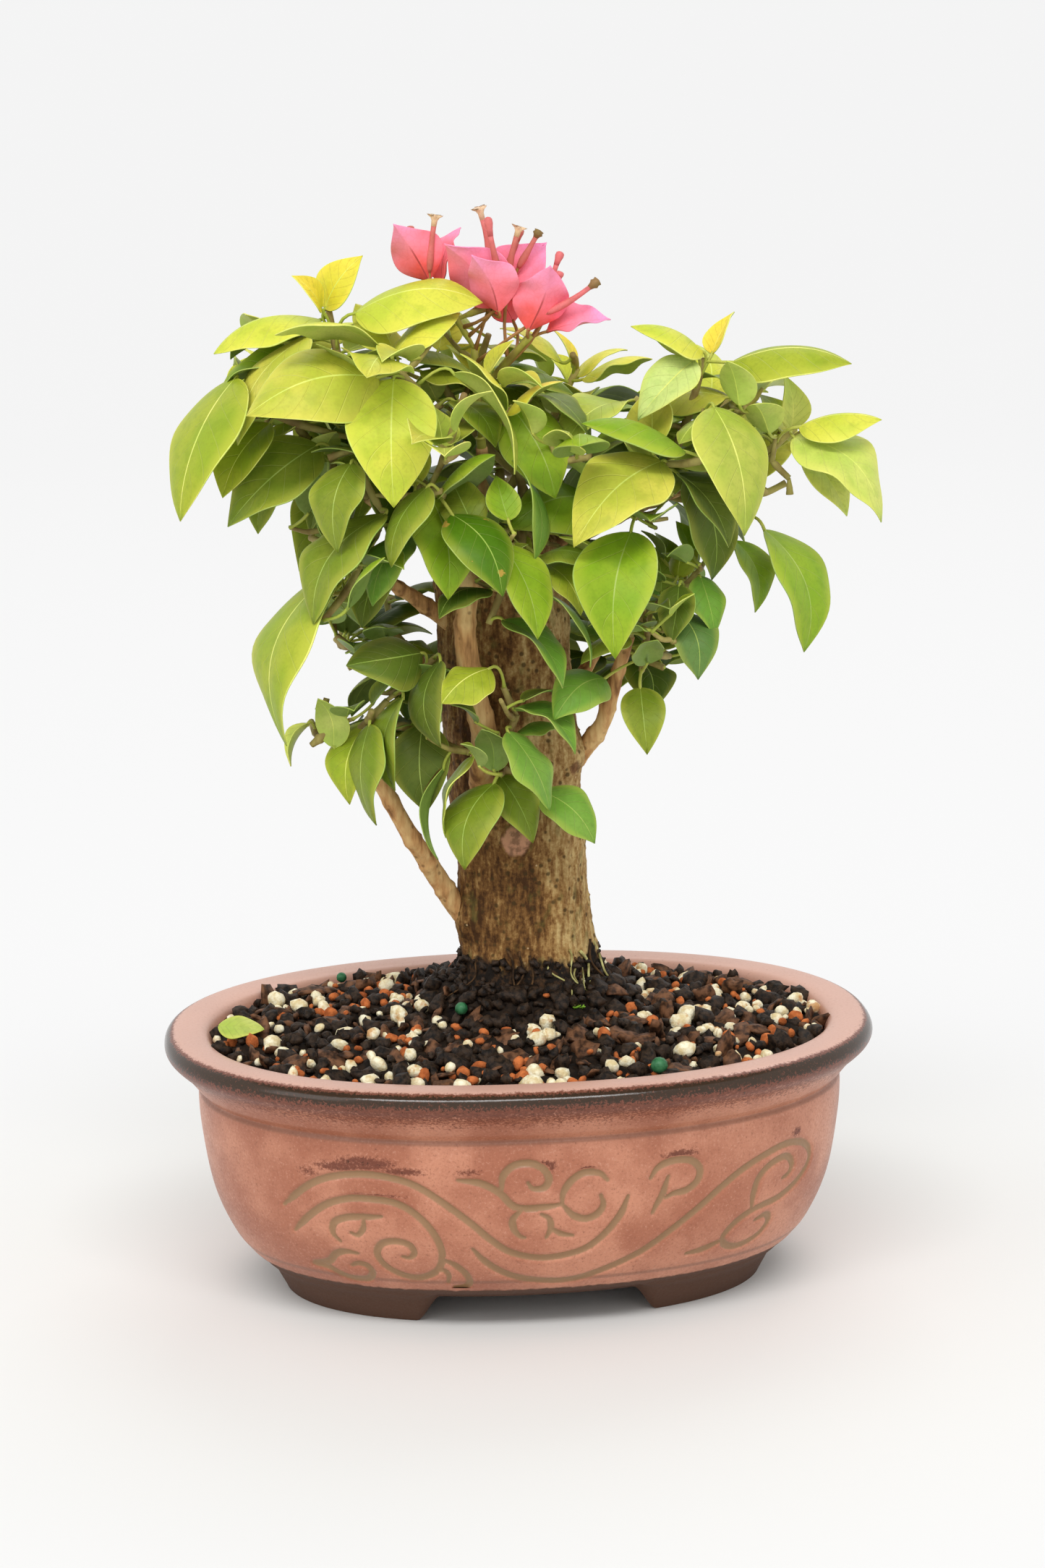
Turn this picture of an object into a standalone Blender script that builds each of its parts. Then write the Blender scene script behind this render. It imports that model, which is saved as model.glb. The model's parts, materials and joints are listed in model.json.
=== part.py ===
"""Bougainvillea bonsai in an oval glazed pot, for Blender 4.5.

Places and lengths below are in millimetres and angles in degrees. The origin is on the surface
that the pot stands on, under the middle of the pot. +Z is up and -Y is the front.
"""
import math
import random

import bmesh
import bpy
from mathutils import Matrix, Vector
from mathutils.bvhtree import BVHTree

MM = 0.001
GAP = 0.3
UP = Vector((0, 0, 1))

# Pot: an oval whose sections are superellipses
POT_SEGMENTS = 32
POT_SQUARENESS = 2.2
POT_HALF_WIDTH = 101.5
POT_HALF_DEPTH = 76.2
# Height and how far in from the widest oval the wall stands there, up the outside
POT_OUTSIDE = (
    (0.0, 32.5), (8.0, 28.5), (10.0, 25.5), (14.0, 21.5), (18.5, 18.1), (27.0, 14.1), (36.0, 11.6),
    (50.0, 9.5), (59.0, 9.5), (66.0, 4.6), (71.0, 0.4), (74.5, 0.2), (76.0, 3.0),
)
# The same down the inside, from the rim to the floor
POT_INSIDE = ((76.0, 11.0), (75.0, 12.5), (40.0, 18.5), (24.0, 25.0), (16.0, 34.0))
POT_RECESS = ((8.0, 38.5), (0.0, 42.0))
ARCH_FOOT_HALF = 34.0
ARCH_TOP_HALF = 27.0
ARCH_HEIGHT = 7.5
DRAIN_PLACES = (-36.0, 36.0)
DRAIN_RADIUS = 6.0
DRAIN_SIDES = 16

# Soil: fills the pot and mounds up to the flat place that the trunk stands on
# Height and inset, as on the pot
SOIL_BODY = ((16.4, 34.6), (24.0, 25.5), (40.0, 19.0), (72.6, 14.0))
SOIL_TOP = 77.0
SOIL_SEAT_RADIUS = 31.0
SOIL_MOUND_STEPS = 8
# Clods in its top: how far apart, how high, and how their rows wander
SOIL_CLOD_SPACING = 14.0
SOIL_CLOD_HEIGHT = 2.5
SOIL_CLOD_WANDER = (1.3, 12.0)

# Trunk: a near cylinder with a root flare, cut off flat at both ends
TRUNK_SIDES = 20
TRUNK_Y = 18.0
TRUNK_FOOT = SOIL_TOP + GAP
TRUNK_TOP = 214.0
# Height, middle in X, radius
TRUNK_SECTIONS = (
    (TRUNK_FOOT, 4.3, 22.0), (82.0, 4.3, 21.2), (88.0, 4.2, 20.1), (95.0, 4.0, 19.0), (106.0, 3.4, 18.6),
    (122.0, 2.5, 18.5), (140.0, 1.7, 18.7), (158.0, 0.9, 18.8), (176.0, 0.2, 18.7), (194.0, -0.5, 18.6),
    (206.0, -0.9, 18.4), (212.0, -1.0, 17.8), (TRUNK_TOP, -1.1, 16.4),
)
ROOT_LOBES = 5
ROOT_LOBE_DEPTH = 2.6
ROOT_LOBE_TOP = 100.0
# Shallow flutes that wind up the trunk: how many, how high for each radian of turn, how deep
TRUNK_FLUTES = ((3, 40.0, 0.7), (7, -25.0, 0.4))
# Round swellings on the bark: angle, height, how far they stand out, spread
TRUNK_BUMPS = ((-92, 128, 2.6, 4.5), (-28, 150, 2.8, 7.0), (-160, 103, 2.2, 7.0), (38, 172, 2.0, 8.0))

# Boughs: the radius at the foot and at the tip, then the places that each one passes
BOUGHS = {
    "bough_lower_left": (3.3, 2.0, (
        (-8, 14, 98), (-16, 12, 106), (-21, 10, 114), (-26, 6, 123), (-31, 1, 132), (-38, -3, 146),
        (-43, -4, 153))),
    "bough_front": (4.2, 2.2, (
        (-7, 9, 138), (-9, 0, 148), (-9, -6, 160), (-12, -8, 174), (-14, -9, 190), (-13, -9, 203),
        (-18, -8, 213), (-21, -6, 219))),
    "bough_right": (3.2, 1.6, ((13, 15, 142), (21, 12, 151), (26, 8, 159), (29, 5, 170), (33, 2, 184))),
    "bough_upper_left": (3.8, 2.2, ((-6, 17, 202), (-17, 12, 212), (-29, 8, 219), (-38, 5, 226))),
    "bough_upper_right": (3.8, 2.2, ((6, 15, 201), (16, 11, 211), (29, 7, 219), (39, 4, 226))),
    "bough_far_right": (3.4, 1.8, ((8, 21, 202), (21, 19, 212), (41, 14, 222), (60, 8, 230))),
    "bough_top": (3.0, 1.6, ((-3, 13, 208), (-5, 10, 222), (-7, 6, 238))),
    "bough_mid_left": (2.8, 1.6, ((-8, 17, 182), (-18, 13, 190), (-28, 7, 198), (-36, 1, 204))),
    "bough_back_left": (3.6, 2.0, ((-7, 23, 202), (-18, 30, 212), (-30, 37, 221))),
    "bough_back_right": (3.6, 2.0, ((7, 24, 202), (18, 30, 212), (31, 36, 221))),
    "bough_back": (3.2, 1.9, ((-1, 26, 203), (0, 36, 213), (1, 42, 224))),
    "bough_low_back": (3.0, 1.7, ((2, 27, 148), (4, 38, 157), (5, 45, 167))),
    "bough_left_back": (2.9, 1.6, ((-8, 22, 161), (-19, 27, 169), (-28, 32, 179))),
    "bough_right_back": (2.9, 1.6, ((9, 22, 156), (20, 27, 166), (28, 31, 177))),
}

# Leaves: how far along the blade, and its share of the full breadth there. The plain stations
# are for the leaves that the rule places, the full ones for those that stand out in the front.
FULL_STATIONS = ((0.12, 0.80), (0.36, 1.0), (0.72, 0.54))
PLAIN_STATIONS = ((0.2, 0.95), (0.62, 0.74))
BLADE_THICKNESS = 0.8
BLADE_BREADTH = 0.70
STALK_RADIUS = 0.6
STALK_ROOT_RADIUS = 0.3
STALK_REACH = 12.0
SIDE_TWIG_SETBACK = 5.0
LEAF_SPACING = 3
LEAF_CLEARANCE = 0.35
TURN_PER_LEAF = 137.5
# Shoots: their leaves stand up at the tip and hang lower down, and are full-grown from the fifth on
TIP_PITCH = 45.0
PITCH_DROP = 112.0
FULL_GROWN = 5
MOST_LEAVES = 9
LEAFED_SHARE = 0.9

# Twigs
STEM_LENGTH = 4.0
FORK_SPACING = 8.0
TWIG_STEP = 16.0
TWIG_SAG = 0.06
TWIG_WANDER = 0.025
TWIG_TIP_RADIUS = 0.9
TWIG_TAPER = 0.01
TWIG_ROOT_SHARE = 0.5
TWIG_SIDES = 3
# How far a leaf may be moved along its facing, or turned on its twig, to come clear of others
NUDGES = (0.0, 1.5, -1.5, 3.0, -3.0, 4.5, -4.5, 6.0, -6.0)
SWINGS = (0, 30, -30, 60, -60, 95, -95)

# Masses of leaves. start is a bough's name, or a place on the trunk and the way out of it.
# middle and reach are the space that the mass keeps to. shoots are tips seen in the front, and
# more is how many further shoots the rule adds. size is a full-grown leaf's length.
MASSES = {
    "crown_left": dict(
        start="bough_upper_left", middle=(-58, 4, 244), reach=(42, 34, 46), seed=3, more=3, size=33,
        shoots=((-49, 0, 279), (-76, 4, 256), (-54, 12, 241))),
    "crown_front": dict(
        start="bough_front", middle=(-26, -22, 246), reach=(42, 32, 42), seed=5, more=2, size=32,
        shoots=((-33, -17, 266), (-20, -20, 229))),
    "crown_centre": dict(
        start=((6, 7, TRUNK_TOP), (0.1, -0.5, 1)), middle=(4, -20, 228), reach=(34, 30, 46), seed=8,
        more=2, size=28, shoots=((-3, -19, 251), (2, -15, 214))),
    "crown_right": dict(
        start="bough_upper_right", middle=(48, -8, 236), reach=(50, 34, 46), seed=13, more=3, size=33,
        shoots=((55, 0, 263), (38, -16, 236), (33, -16, 221))),
    "crown_far_right": dict(
        start="bough_far_right", middle=(78, 4, 226), reach=(27, 36, 50), seed=21, more=3, size=31,
        shoots=((80, -2, 243), (68, 4, 217))),
    "crown_top": dict(
        start=((-4, 24, TRUNK_TOP), (0, 0.1, 1)), middle=(2, 22, 252), reach=(38, 26, 36), seed=34,
        more=3, size=26, shoots=((22, 23, 259), (-20, 18, 262))),
    "crown_mid_left": dict(
        start="bough_mid_left", middle=(-46, -8, 204), reach=(30, 32, 46), seed=55, more=2, size=30,
        shoots=((-48, -6, 215), (-36, -18, 224))),
    "crown_low_left": dict(
        start="bough_lower_left", middle=(-46, 0, 164), reach=(32, 28, 36), seed=89, more=4, size=25,
        shoots=((-52, -6, 163), (-36, -8, 171))),
    "crown_low_right": dict(
        start="bough_right", middle=(38, -2, 184), reach=(34, 26, 36), seed=144, more=3, size=20,
        shoots=((44, -4, 199), (36, -4, 176))),
    "crown_low_front": dict(
        start=((1, -1, 148), (-0.4, -1, 0.1)), middle=(-1, -12, 148), reach=(27, 18, 32), seed=233,
        more=0, size=22, shoots=((-6, -8, 152), (0, -10, 166))),
    "crown_back_left": dict(
        start="bough_back_left", middle=(-46, 42, 234), reach=(44, 33, 38), seed=377, more=8, size=33,
        shoots=()),
    "crown_back_right": dict(
        start="bough_back_right", middle=(48, 40, 234), reach=(44, 35, 38), seed=610, more=7, size=33,
        shoots=()),
    "crown_back": dict(
        start="bough_back", middle=(0, 50, 236), reach=(38, 24, 40), seed=987, more=8, size=31,
        shoots=()),
    "crown_left_back": dict(
        start="bough_left_back", middle=(-40, 38, 180), reach=(28, 32, 38), seed=1597, more=6, size=27,
        shoots=()),
    "crown_right_back": dict(
        start="bough_right_back", middle=(38, 36, 178), reach=(27, 32, 38), seed=2584, more=6, size=27,
        shoots=()),
    "crown_low_back": dict(
        start="bough_low_back", middle=(4, 53, 168), reach=(30, 24, 40), seed=4181, more=5, size=27,
        shoots=()),
}

# Leaves that stand out in the front view: the blade's foot, then its heading, pitch, length and turn
FRONT_LEAVES = {
    "crown_left": (
        (-75, -2, 261, -140, -60, 43, 8), (-66, 0, 248, -149, -50, 25, -15),
        (-54, 10, 243, 163, -26, 26, 0), (-57, -6, 274, -157, -52, 36, 0), (-51, 2, 276, -176, -16, 31, 0),
        (-50, 0, 279, -11, 53, 18, 50), (-51, -2, 279, -143, 44, 14, -60), (-42, -5, 278, -10, 4, 35, 24)),
    "crown_front": (
        (-37, -22, 262, -166, -13, 38, -55), (-37, -20, 267, -157, 9, 31, 0),
        (-32, -8, 268, 125, 36, 20, 0), (-32, -18, 268, 23, 26, 22, 0), (-33, -22, 262, -97, -67, 36, 0),
        (-16, -10, 254, -51, -36, 20, 0), (-22, -24, 260, -33, -56, 32, -40),
        (-20, -20, 227, -44, 31, 23, 0), (-28, 0, 267, -21, -21, 21, 0),
        (-18, -30, 226, -46, -50, 27, 20)),
    "crown_centre": (
        (-3, -20, 252, -154, 50, 21, 0), (-3, -20, 252, 7, 28, 18, 0), (0, -14, 253, -28, -63, 28, 35),
        (1, -16, 239, -60, -66, 29, -55), (9, -6, 255, -52, -32, 22, 0), (-4, -27, 217, -51, -62, 28, 0),
        (-4, -17, 194, -40, -42, 26, 0), (7, -22, 202, -27, -57, 24, -20), (8, -14, 209, -51, -44, 19, 0)),
    "crown_right": (
        (40, -20, 237, -149, -34, 37, -35), (27, 1, 222, -154, -6, 32, -25),
        (55, -16, 251, -66, -66, 37, 0), (31, -22, 218, -115, -65, 36, -10),
        (46, -8, 232, -45, -48, 26, 0), (62, -4, 262, -14, -1, 33, 20), (54, -2, 265, -163, 20, 23, 0),
        (57, 0, 264, 33, 53, 14, 0), (51, -6, 263, -155, -40, 24, -35), (31, -4, 254, -147, -29, 26, 0)),
    "crown_far_right": (
        (79, -6, 241, -24, -43, 34, 35), (83, 2, 236, -29, -54, 22, 30), (80, -8, 244, -15, 5, 23, 20),
        (80, 4, 242, 114, 75, 16, 0), (71, -4, 215, -30, -71, 36, 0), (64, 4, 211, -49, -70, 21, 0)),
    "crown_top": (
        (-9, 8, 272, 152, 21, 19, 0), (0, 6, 262, -29, -14, 22, 0), (17, 20, 261, 160, 28, 20, 0),
        (21, 24, 259, 156, 62, 12, 0), (21, 24, 259, 16, 24, 17, 0), (23, 20, 256, -18, 16, 21, 0)),
    "crown_mid_left": (
        (-45, -22, 239, -118, -67, 25, 0), (-36, -22, 225, -159, -52, 36, 0),
        (-52, -12, 208, -140, -68, 49, 14), (-25, -30, 233, -149, -59, 24, 0),
        (-30, -16, 219, -141, -55, 23, 0), (-49, 4, 214, 164, 51, 23, 0), (-35, 4, 211, -131, -61, 23, 0),
        (-53, -2, 242, -163, -38, 34, -40), (-59, 4, 239, -146, -57, 25, 0)),
    "crown_low_left": (
        (-26, -8, 184, -147, -1, 26, -55), (-24, -15, 183, -96, -70, 24, 55),
        (-35, 2, 178, 147, -50, 19, 0), (-51, -8, 158, -138, 68, 16, 10), (-43, -8, 166, -135, -68, 24, 0),
        (-39, -12, 165, -83, -76, 28, 60), (-32, -15, 173, -118, -75, 26, 50),
        (-26, -3, 163, -89, -76, 25, 0), (-18, -12, 157, -155, -67, 24, 15),
        (-58, -2, 164, -159, -64, 13, 10)),
    "crown_low_right": (
        (46, -6, 193, -69, -57, 21, 0), (46, -10, 201, -116, -64, 17, 0), (52, -4, 202, -66, -65, 17, 0),
        (35, -8, 172, -88, -58, 20, 0), (25, -8, 175, -142, -24, 22, -40)),
    "crown_low_front": (
        (-8, -16, 176, -144, -23, 19, -25), (-1, -12, 168, -33, -31, 22, 0),
        (-3, -14, 162, -38, -58, 25, 0), (-6, -10, 151, -123, 62, 15, 0), (-7, -12, 147, -133, -58, 26, 0),
        (-4, -9, 149, -31, -62, 21, 40), (7, -6, 143, -23, -43, 21, 35)),
}

# Where the photo was taken from, and the crown's outline from there, across and up in the plane Y = 0.
# The rule's leaves keep within the outline, and hide neither a front leaf nor these gaps of sky.
VIEWPOINT = Vector((-90.3, -960.6, 350.0))
CROWN_OUTLINE = (
    (-15, 127), (-34, 140), (-48, 143), (-48, 154), (-59, 156), (-57, 170), (-47, 172), (-47, 183),
    (-54, 194), (-67, 193), (-62, 204), (-54, 212), (-64, 216), (-62, 234), (-74, 237), (-81, 235),
    (-88, 238), (-88, 248), (-80, 259), (-77, 271), (-71, 281), (-56, 279), (-50, 275), (-42, 278),
    (-40, 284), (-28, 285), (-12, 286), (-7, 279), (3, 275), (15, 269), (30, 271), (23, 257), (34, 250),
    (41, 262), (55, 268), (63, 261), (79, 257), (82, 245), (86, 240), (73, 232), (73, 215), (80, 208),
    (79, 198), (67, 196), (60, 203), (57, 187), (57, 172), (46, 169), (45, 157), (36, 157), (33, 170),
    (21, 161), (19, 169), (15, 153), (10, 138), (-3, 123),
)
OPEN_SKY = ((-54, 244), (-22, 189), (-37, 191), (26, 181), (21, 214), (-2, 162))
# Places on a front leaf that stay in view: the share along the blade, and across it
SEEN_PLACES = ((0.08, 0.0), (0.35, -0.38), (0.35, 0.0), (0.35, 0.38), (0.7, -0.2), (0.7, 0.2), (0.95, 0.0))
SIGHT_SPARE = 1.5
SKY_REACH = 2.0
# The places on a twig that stay in the outline, how far it is drawn in at a time, and how often
TWIG_PLACES = (0.5, 0.8, 1.0)
DRAW_IN = 0.8
DRAW_IN_MOST = 8

# Blossom: three bracts and a few slim flowers round each of these places at the top of the crown
BLOSSOM_NODE = "blossom"
BLOSSOM_START = "bough_top"
BLOSSOM_SEED = 17
BLOSSOM_SHOOTS = ((-9, 2, 267), (-19, 0, 284), (-2, -2, 279), (6, -6, 271))
BRACT_BREADTH = 0.8
BRACT_ARCH = 0.12
BRACT_FOLD = 10.0
BRACTS = (
    (-21, 2, 286, -157, 56, 19, 50), (-20, 3, 286, 39, 63, 17, -15), (-3, 0, 280, -164, 51, 23, 60),
    (-2, -6, 279, -140, 58, 19, 25), (-2, -2, 280, 16, 48, 21, 50), (5, -8, 273, -50, 64, 20, -40),
    (10, -6, 273, -7, 10, 18, 30), (3, -2, 275, 165, 62, 14, -60),
)
# Each flower: its foot, heading, pitch and length
FLOWERS = (
    (-24, 4, 290, 175, 80, 11), (-21, 2, 288, -30, 82, 16), (-4, 0, 288, 180, 80, 18),
    (-2, -8, 285, -151, 77, 19), (0, -4, 286, -17, 76, 15), (-1, -1, 288, 20, 64, 13),
    (3, -3, 289, 0, 59, 12), (11, -6, 280, 0, 75, 14), (11, -8, 279, -30, 70, 10), (10, -9, 277, 0, 31, 17),
)
FLOWER_RADIUS = 0.9
FLOWER_MOUTH_RADIUS = 1.9

COLOURS = {
    "glaze": ((0.42, 0.17, 0.12), 0.28),
    "potting_mix": ((0.06, 0.04, 0.03), 0.95),
    "bark": ((0.20, 0.14, 0.09), 0.9),
    "young_bark": ((0.38, 0.25, 0.17), 0.85),
    "leaf": ((0.22, 0.36, 0.07), 0.45),
    "bract": ((0.80, 0.12, 0.25), 0.5),
}


def clear_scene():
    for item in list(bpy.data.objects):
        bpy.data.objects.remove(item, do_unlink=True)


def new_collection(name):
    collection = bpy.data.collections.new(name)
    bpy.context.scene.collection.children.link(collection)
    return collection


def new_material(kind, node):
    colour, roughness = COLOURS[kind]
    material = bpy.data.materials.new(f"{kind}_{node}")
    material.use_nodes = True
    shader = material.node_tree.nodes["Principled BSDF"]
    shader.inputs["Base Color"].default_value = (*colour, 1.0)
    shader.inputs["Roughness"].default_value = roughness
    shader.inputs["Metallic"].default_value = 0.0
    return material


def add_object(name, shape, collection, kind=None, smooth=math.radians(40)):
    """Makes an object of a shape, which is a list of places in millimetres and a list of faces."""
    places, faces = shape
    mesh = bpy.data.meshes.new(name)
    mesh.from_pydata([Vector(place) * MM for place in places], [], faces)
    mesh.shade_smooth()
    mesh.set_sharp_from_angle(angle=smooth)
    item = bpy.data.objects.new(name, mesh)
    collection.objects.link(item)
    if kind:
        mesh.materials.append(new_material(kind, name))
    return item


def loft(rings, tip=None):
    """Joins rings of as many places each, with faces pointing out, and closes both ends, the last
    one in a point where there is a tip."""
    sides = len(rings[0])
    places = [place for ring in rings for place in ring]
    faces = [tuple(reversed(range(sides)))]
    for level in range(len(rings) - 1):
        low = level * sides
        for side in range(sides):
            after = (side + 1) % sides
            faces.append((low + side, low + after, low + sides + after, low + sides + side))
    last = len(places) - sides
    if tip is None:
        faces.append(tuple(range(last, last + sides)))
    else:
        faces += [(last + side, last + (side + 1) % sides, len(places)) for side in range(sides)]
        places.append(tip)
    return places, faces


def oval(inset, height):
    """The pot's section at a height, a given distance in from its widest oval."""
    ring = []
    power = 2 / POT_SQUARENESS
    for step in range(POT_SEGMENTS):
        angle = 2 * math.pi * step / POT_SEGMENTS
        across = math.copysign(abs(math.cos(angle)) ** power, math.cos(angle))
        deep = math.copysign(abs(math.sin(angle)) ** power, math.sin(angle))
        ring.append(Vector(((POT_HALF_WIDTH - inset) * across, (POT_HALF_DEPTH - inset) * deep, height)))
    return ring


def cut(item, cutter):
    modifier = item.modifiers.new("cut", "BOOLEAN")
    modifier.operation = "DIFFERENCE"
    modifier.object = cutter


def as_cutter(item):
    item.hide_render = True
    item.display_type = "WIRE"
    return item


def make_pot(parts, cutters):
    walls = POT_OUTSIDE + POT_INSIDE
    shell = loft([oval(inset, height) for height, inset in POT_RECESS + walls])
    pot = add_object("pot", shell, parts, "glaze")
    # The arch's cutter reaches as far below the floor as above it, and widens all the way down
    arch = bmesh.new()
    bmesh.ops.create_cube(arch, size=1)
    for corner in arch.verts:
        half = ARCH_TOP_HALF if corner.co.z > 0 else 2 * ARCH_FOOT_HALF - ARCH_TOP_HALF
        corner.co.x = math.copysign(half, corner.co.x) * MM
        corner.co.y = math.copysign(POT_HALF_DEPTH, corner.co.y) * MM
        corner.co.z = (ARCH_HEIGHT if corner.co.z > 0 else -ARCH_HEIGHT) * MM
    mesh = bpy.data.meshes.new("arch_cutter")
    arch.to_mesh(mesh)
    arch.free()
    cutter = bpy.data.objects.new("arch_cutter", mesh)
    cutters.objects.link(cutter)
    cut(pot, as_cutter(cutter))
    for side, place in enumerate(DRAIN_PLACES):
        drill = bmesh.new()
        bmesh.ops.create_cone(
            drill, cap_ends=True, segments=DRAIN_SIDES, radius1=DRAIN_RADIUS * MM,
            radius2=DRAIN_RADIUS * MM, depth=2 * POT_INSIDE[-1][0] * MM)
        mesh = bpy.data.meshes.new(f"drain_cutter_{side}")
        drill.to_mesh(mesh)
        drill.free()
        cutter = bpy.data.objects.new(mesh.name, mesh)
        cutter.location = Vector((place, 0, POT_INSIDE[-1][0])) * MM
        cutters.objects.link(cutter)
        cut(pot, as_cutter(cutter))
    return pot


def soil_relief(place, share):
    """How far a clod stands up, or lies low, at a place on the mound, a share of the way up it."""
    swing, length = SOIL_CLOD_WANDER
    across = 2 * math.pi * place.x / SOIL_CLOD_SPACING + swing * math.sin(place.y / length)
    deep = 2 * math.pi * place.y / SOIL_CLOD_SPACING + swing * math.sin(place.x / length)
    return SOIL_CLOD_HEIGHT / 2 * math.sin(across) * math.sin(deep) * min(1.0, 3 * (1 - share))


def soil_shape():
    """The potting mix, with a place halfway along each side of the oval too, for the clods."""
    rings = []
    for height, inset in SOIL_BODY:
        corners = oval(inset, height)
        rings.append([place for index, corner in enumerate(corners)
                      for place in (corner, corner.lerp(corners[(index + 1) % len(corners)], 0.5))])
    edge = rings[-1]
    middle = Vector((TRUNK_SECTIONS[0][1], TRUNK_Y, 0))
    for step in range(1, SOIL_MOUND_STEPS + 1):
        share = step / SOIL_MOUND_STEPS
        height = edge[0].z + (SOIL_TOP - edge[0].z) * math.sin(share * math.pi / 2)
        ring = []
        for place in edge:
            flat = Vector((place.x, place.y, 0))
            seat = middle + (flat - middle).normalized() * SOIL_SEAT_RADIUS
            spot = flat.lerp(seat, share)
            ring.append(spot + UP * (height + soil_relief(spot, share)))
        rings.append(ring)
    return loft(rings)


def trunk_shape(spare=0.0):
    """The trunk's solid, or one a little larger all round that cuts the boughs' feet."""
    rings = []
    for height, middle, radius in TRUNK_SECTIONS:
        ring = []
        lobe = ROOT_LOBE_DEPTH * max(0.0, (ROOT_LOBE_TOP - height) / (ROOT_LOBE_TOP - TRUNK_FOOT)) ** 2
        for side in range(TRUNK_SIDES):
            angle = 2 * math.pi * side / TRUNK_SIDES
            out = radius + spare + lobe * math.cos(ROOT_LOBES * angle)
            out += sum(deep * math.sin(count * angle + height / rise) for count, rise, deep in TRUNK_FLUTES)
            for facing, level, lift, spread in TRUNK_BUMPS:
                apart = (math.degrees(angle) - facing + 180) % 360 - 180
                away = math.hypot(math.radians(apart) * radius, height - level)
                out += lift * math.exp(-((away / spread) ** 2))
            ring.append(Vector((middle + out * math.cos(angle), TRUNK_Y + out * math.sin(angle), height)))
        rings.append(ring)
    if spare:
        for place in rings[-1]:
            place.z += spare
    return loft(rings)


def smooth_path(places, per_leg):
    """More places along a curve that passes through the given ones."""
    knots = [Vector(place) for place in places]
    ends = [knots[0] * 2 - knots[1]] + knots + [knots[-1] * 2 - knots[-2]]
    path = []
    for leg in range(len(knots) - 1):
        before, start, stop, after = ends[leg:leg + 4]
        for step in range(per_leg):
            t = step / per_leg
            path.append(0.5 * (
                start * 2 + (stop - before) * t
                + (before * 2 - start * 5 + stop * 4 - after) * t * t
                + (start * 3 - before - stop * 3 + after) * t * t * t))
    path.append(knots[-1])
    return path


def tube(path, radii, sides):
    """A solid along a path whose section is a regular polygon."""
    rings = []
    facing = None
    for index, place in enumerate(path):
        ahead = path[min(index + 1, len(path) - 1)]
        behind = path[max(index - 1, 0)]
        along = (ahead - behind).normalized()
        if facing is None:
            facing = along.orthogonal().normalized()
        facing = (facing - along * facing.dot(along)).normalized()
        other = along.cross(facing)
        ring = []
        for side in range(sides):
            angle = 2 * math.pi * side / sides
            ring.append(place + (facing * math.cos(angle) + other * math.sin(angle)) * radii[index])
        rings.append(ring)
    return loft(rings)


def bough_line(name):
    foot, tip, places = BOUGHS[name]
    path = smooth_path(places, 2)
    radii = [foot + (tip - foot) * index / (len(path) - 1) for index in range(len(path))]
    return path, radii


def make_bough(name, parts, trunk_cutter):
    """A tapering limb, made as a bevelled curve and cut off where it meets the trunk."""
    path, radii = bough_line(name)
    data = bpy.data.curves.new(name, "CURVE")
    data.dimensions = "3D"
    data.bevel_depth = MM
    data.bevel_resolution = 1
    data.use_fill_caps = True
    spline = data.splines.new("POLY")
    spline.points.add(len(path) - 1)
    for point, place, radius in zip(spline.points, path, radii):
        point.co = (*(place * MM), 1)
        point.radius = radius
    curve = bpy.data.objects.new(name + "_curve", data)
    parts.objects.link(curve)
    seen = curve.evaluated_get(bpy.context.evaluated_depsgraph_get())
    mesh = bpy.data.meshes.new_from_object(seen)
    mesh.name = name
    weld = bmesh.new()
    weld.from_mesh(mesh)
    bmesh.ops.remove_doubles(weld, verts=weld.verts, dist=1e-6)
    bmesh.ops.recalc_face_normals(weld, faces=weld.faces)
    weld.to_mesh(mesh)
    weld.free()
    mesh.shade_smooth()
    mesh.materials.clear()
    mesh.materials.append(new_material("young_bark", name))
    bough = bpy.data.objects.new(name, mesh)
    bough.matrix_world = curve.matrix_world
    parts.objects.link(bough)
    bpy.data.objects.remove(curve, do_unlink=True)
    cut(bough, trunk_cutter)


def blade_frame(heading, pitch, turn):
    """The way along a blade, across it, and out of its upper side, which faces as far up as it can."""
    level = math.cos(math.radians(pitch))
    along = Vector((
        level * math.cos(math.radians(heading)), level * math.sin(math.radians(heading)),
        math.sin(math.radians(pitch))))
    face = (UP - along * along.z).normalized()
    face.rotate(Matrix.Rotation(math.radians(turn), 3, along))
    return along, along.cross(face), face


def blade_line(foot, frame, length, arch, share):
    """The place on a blade's arched midrib at a share of its length."""
    along, _, face = frame
    return foot + along * (length * share) + face * (arch * length * 4 * share * (1 - share))


def leaf_rings(root, foot, blade, stations, spare=0.0):
    """The three-sided sections of a leaf on its stalk, or of a bract, and its tip: at each a left
    and a right margin, and the keel under the midrib. Spare makes it thicker and wider all round."""
    frame, length, breadth, arch, fold = blade
    along, across, face = frame
    rings = []
    way = (foot - root).normalized()
    for place, ahead, radius in ((root, way, STALK_ROOT_RADIUS),
                                 (foot, (way + along).normalized(), STALK_RADIUS)):
        side = (across - ahead * across.dot(ahead)).normalized() * (radius + spare)
        top = side.cross(ahead)
        rings.append([place - side + top / 2, place + side + top / 2, place - top])
    for share, wide in stations:
        middle = blade_line(foot, frame, length, arch, share)
        half = length * breadth * wide / 2
        out = across * (half * math.cos(math.radians(fold)) + spare)
        lift = face * (half * math.sin(math.radians(fold)) + spare)
        rings.append([middle - out + lift, middle + out + lift, middle - face * (BLADE_THICKNESS + spare)])
    return rings, blade_line(foot, frame, length + spare, arch, 1.0)


def tree_of(shape):
    """The shape's faces, sorted for finding where another shape crosses them."""
    return BVHTree.FromPolygons(*shape)


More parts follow.
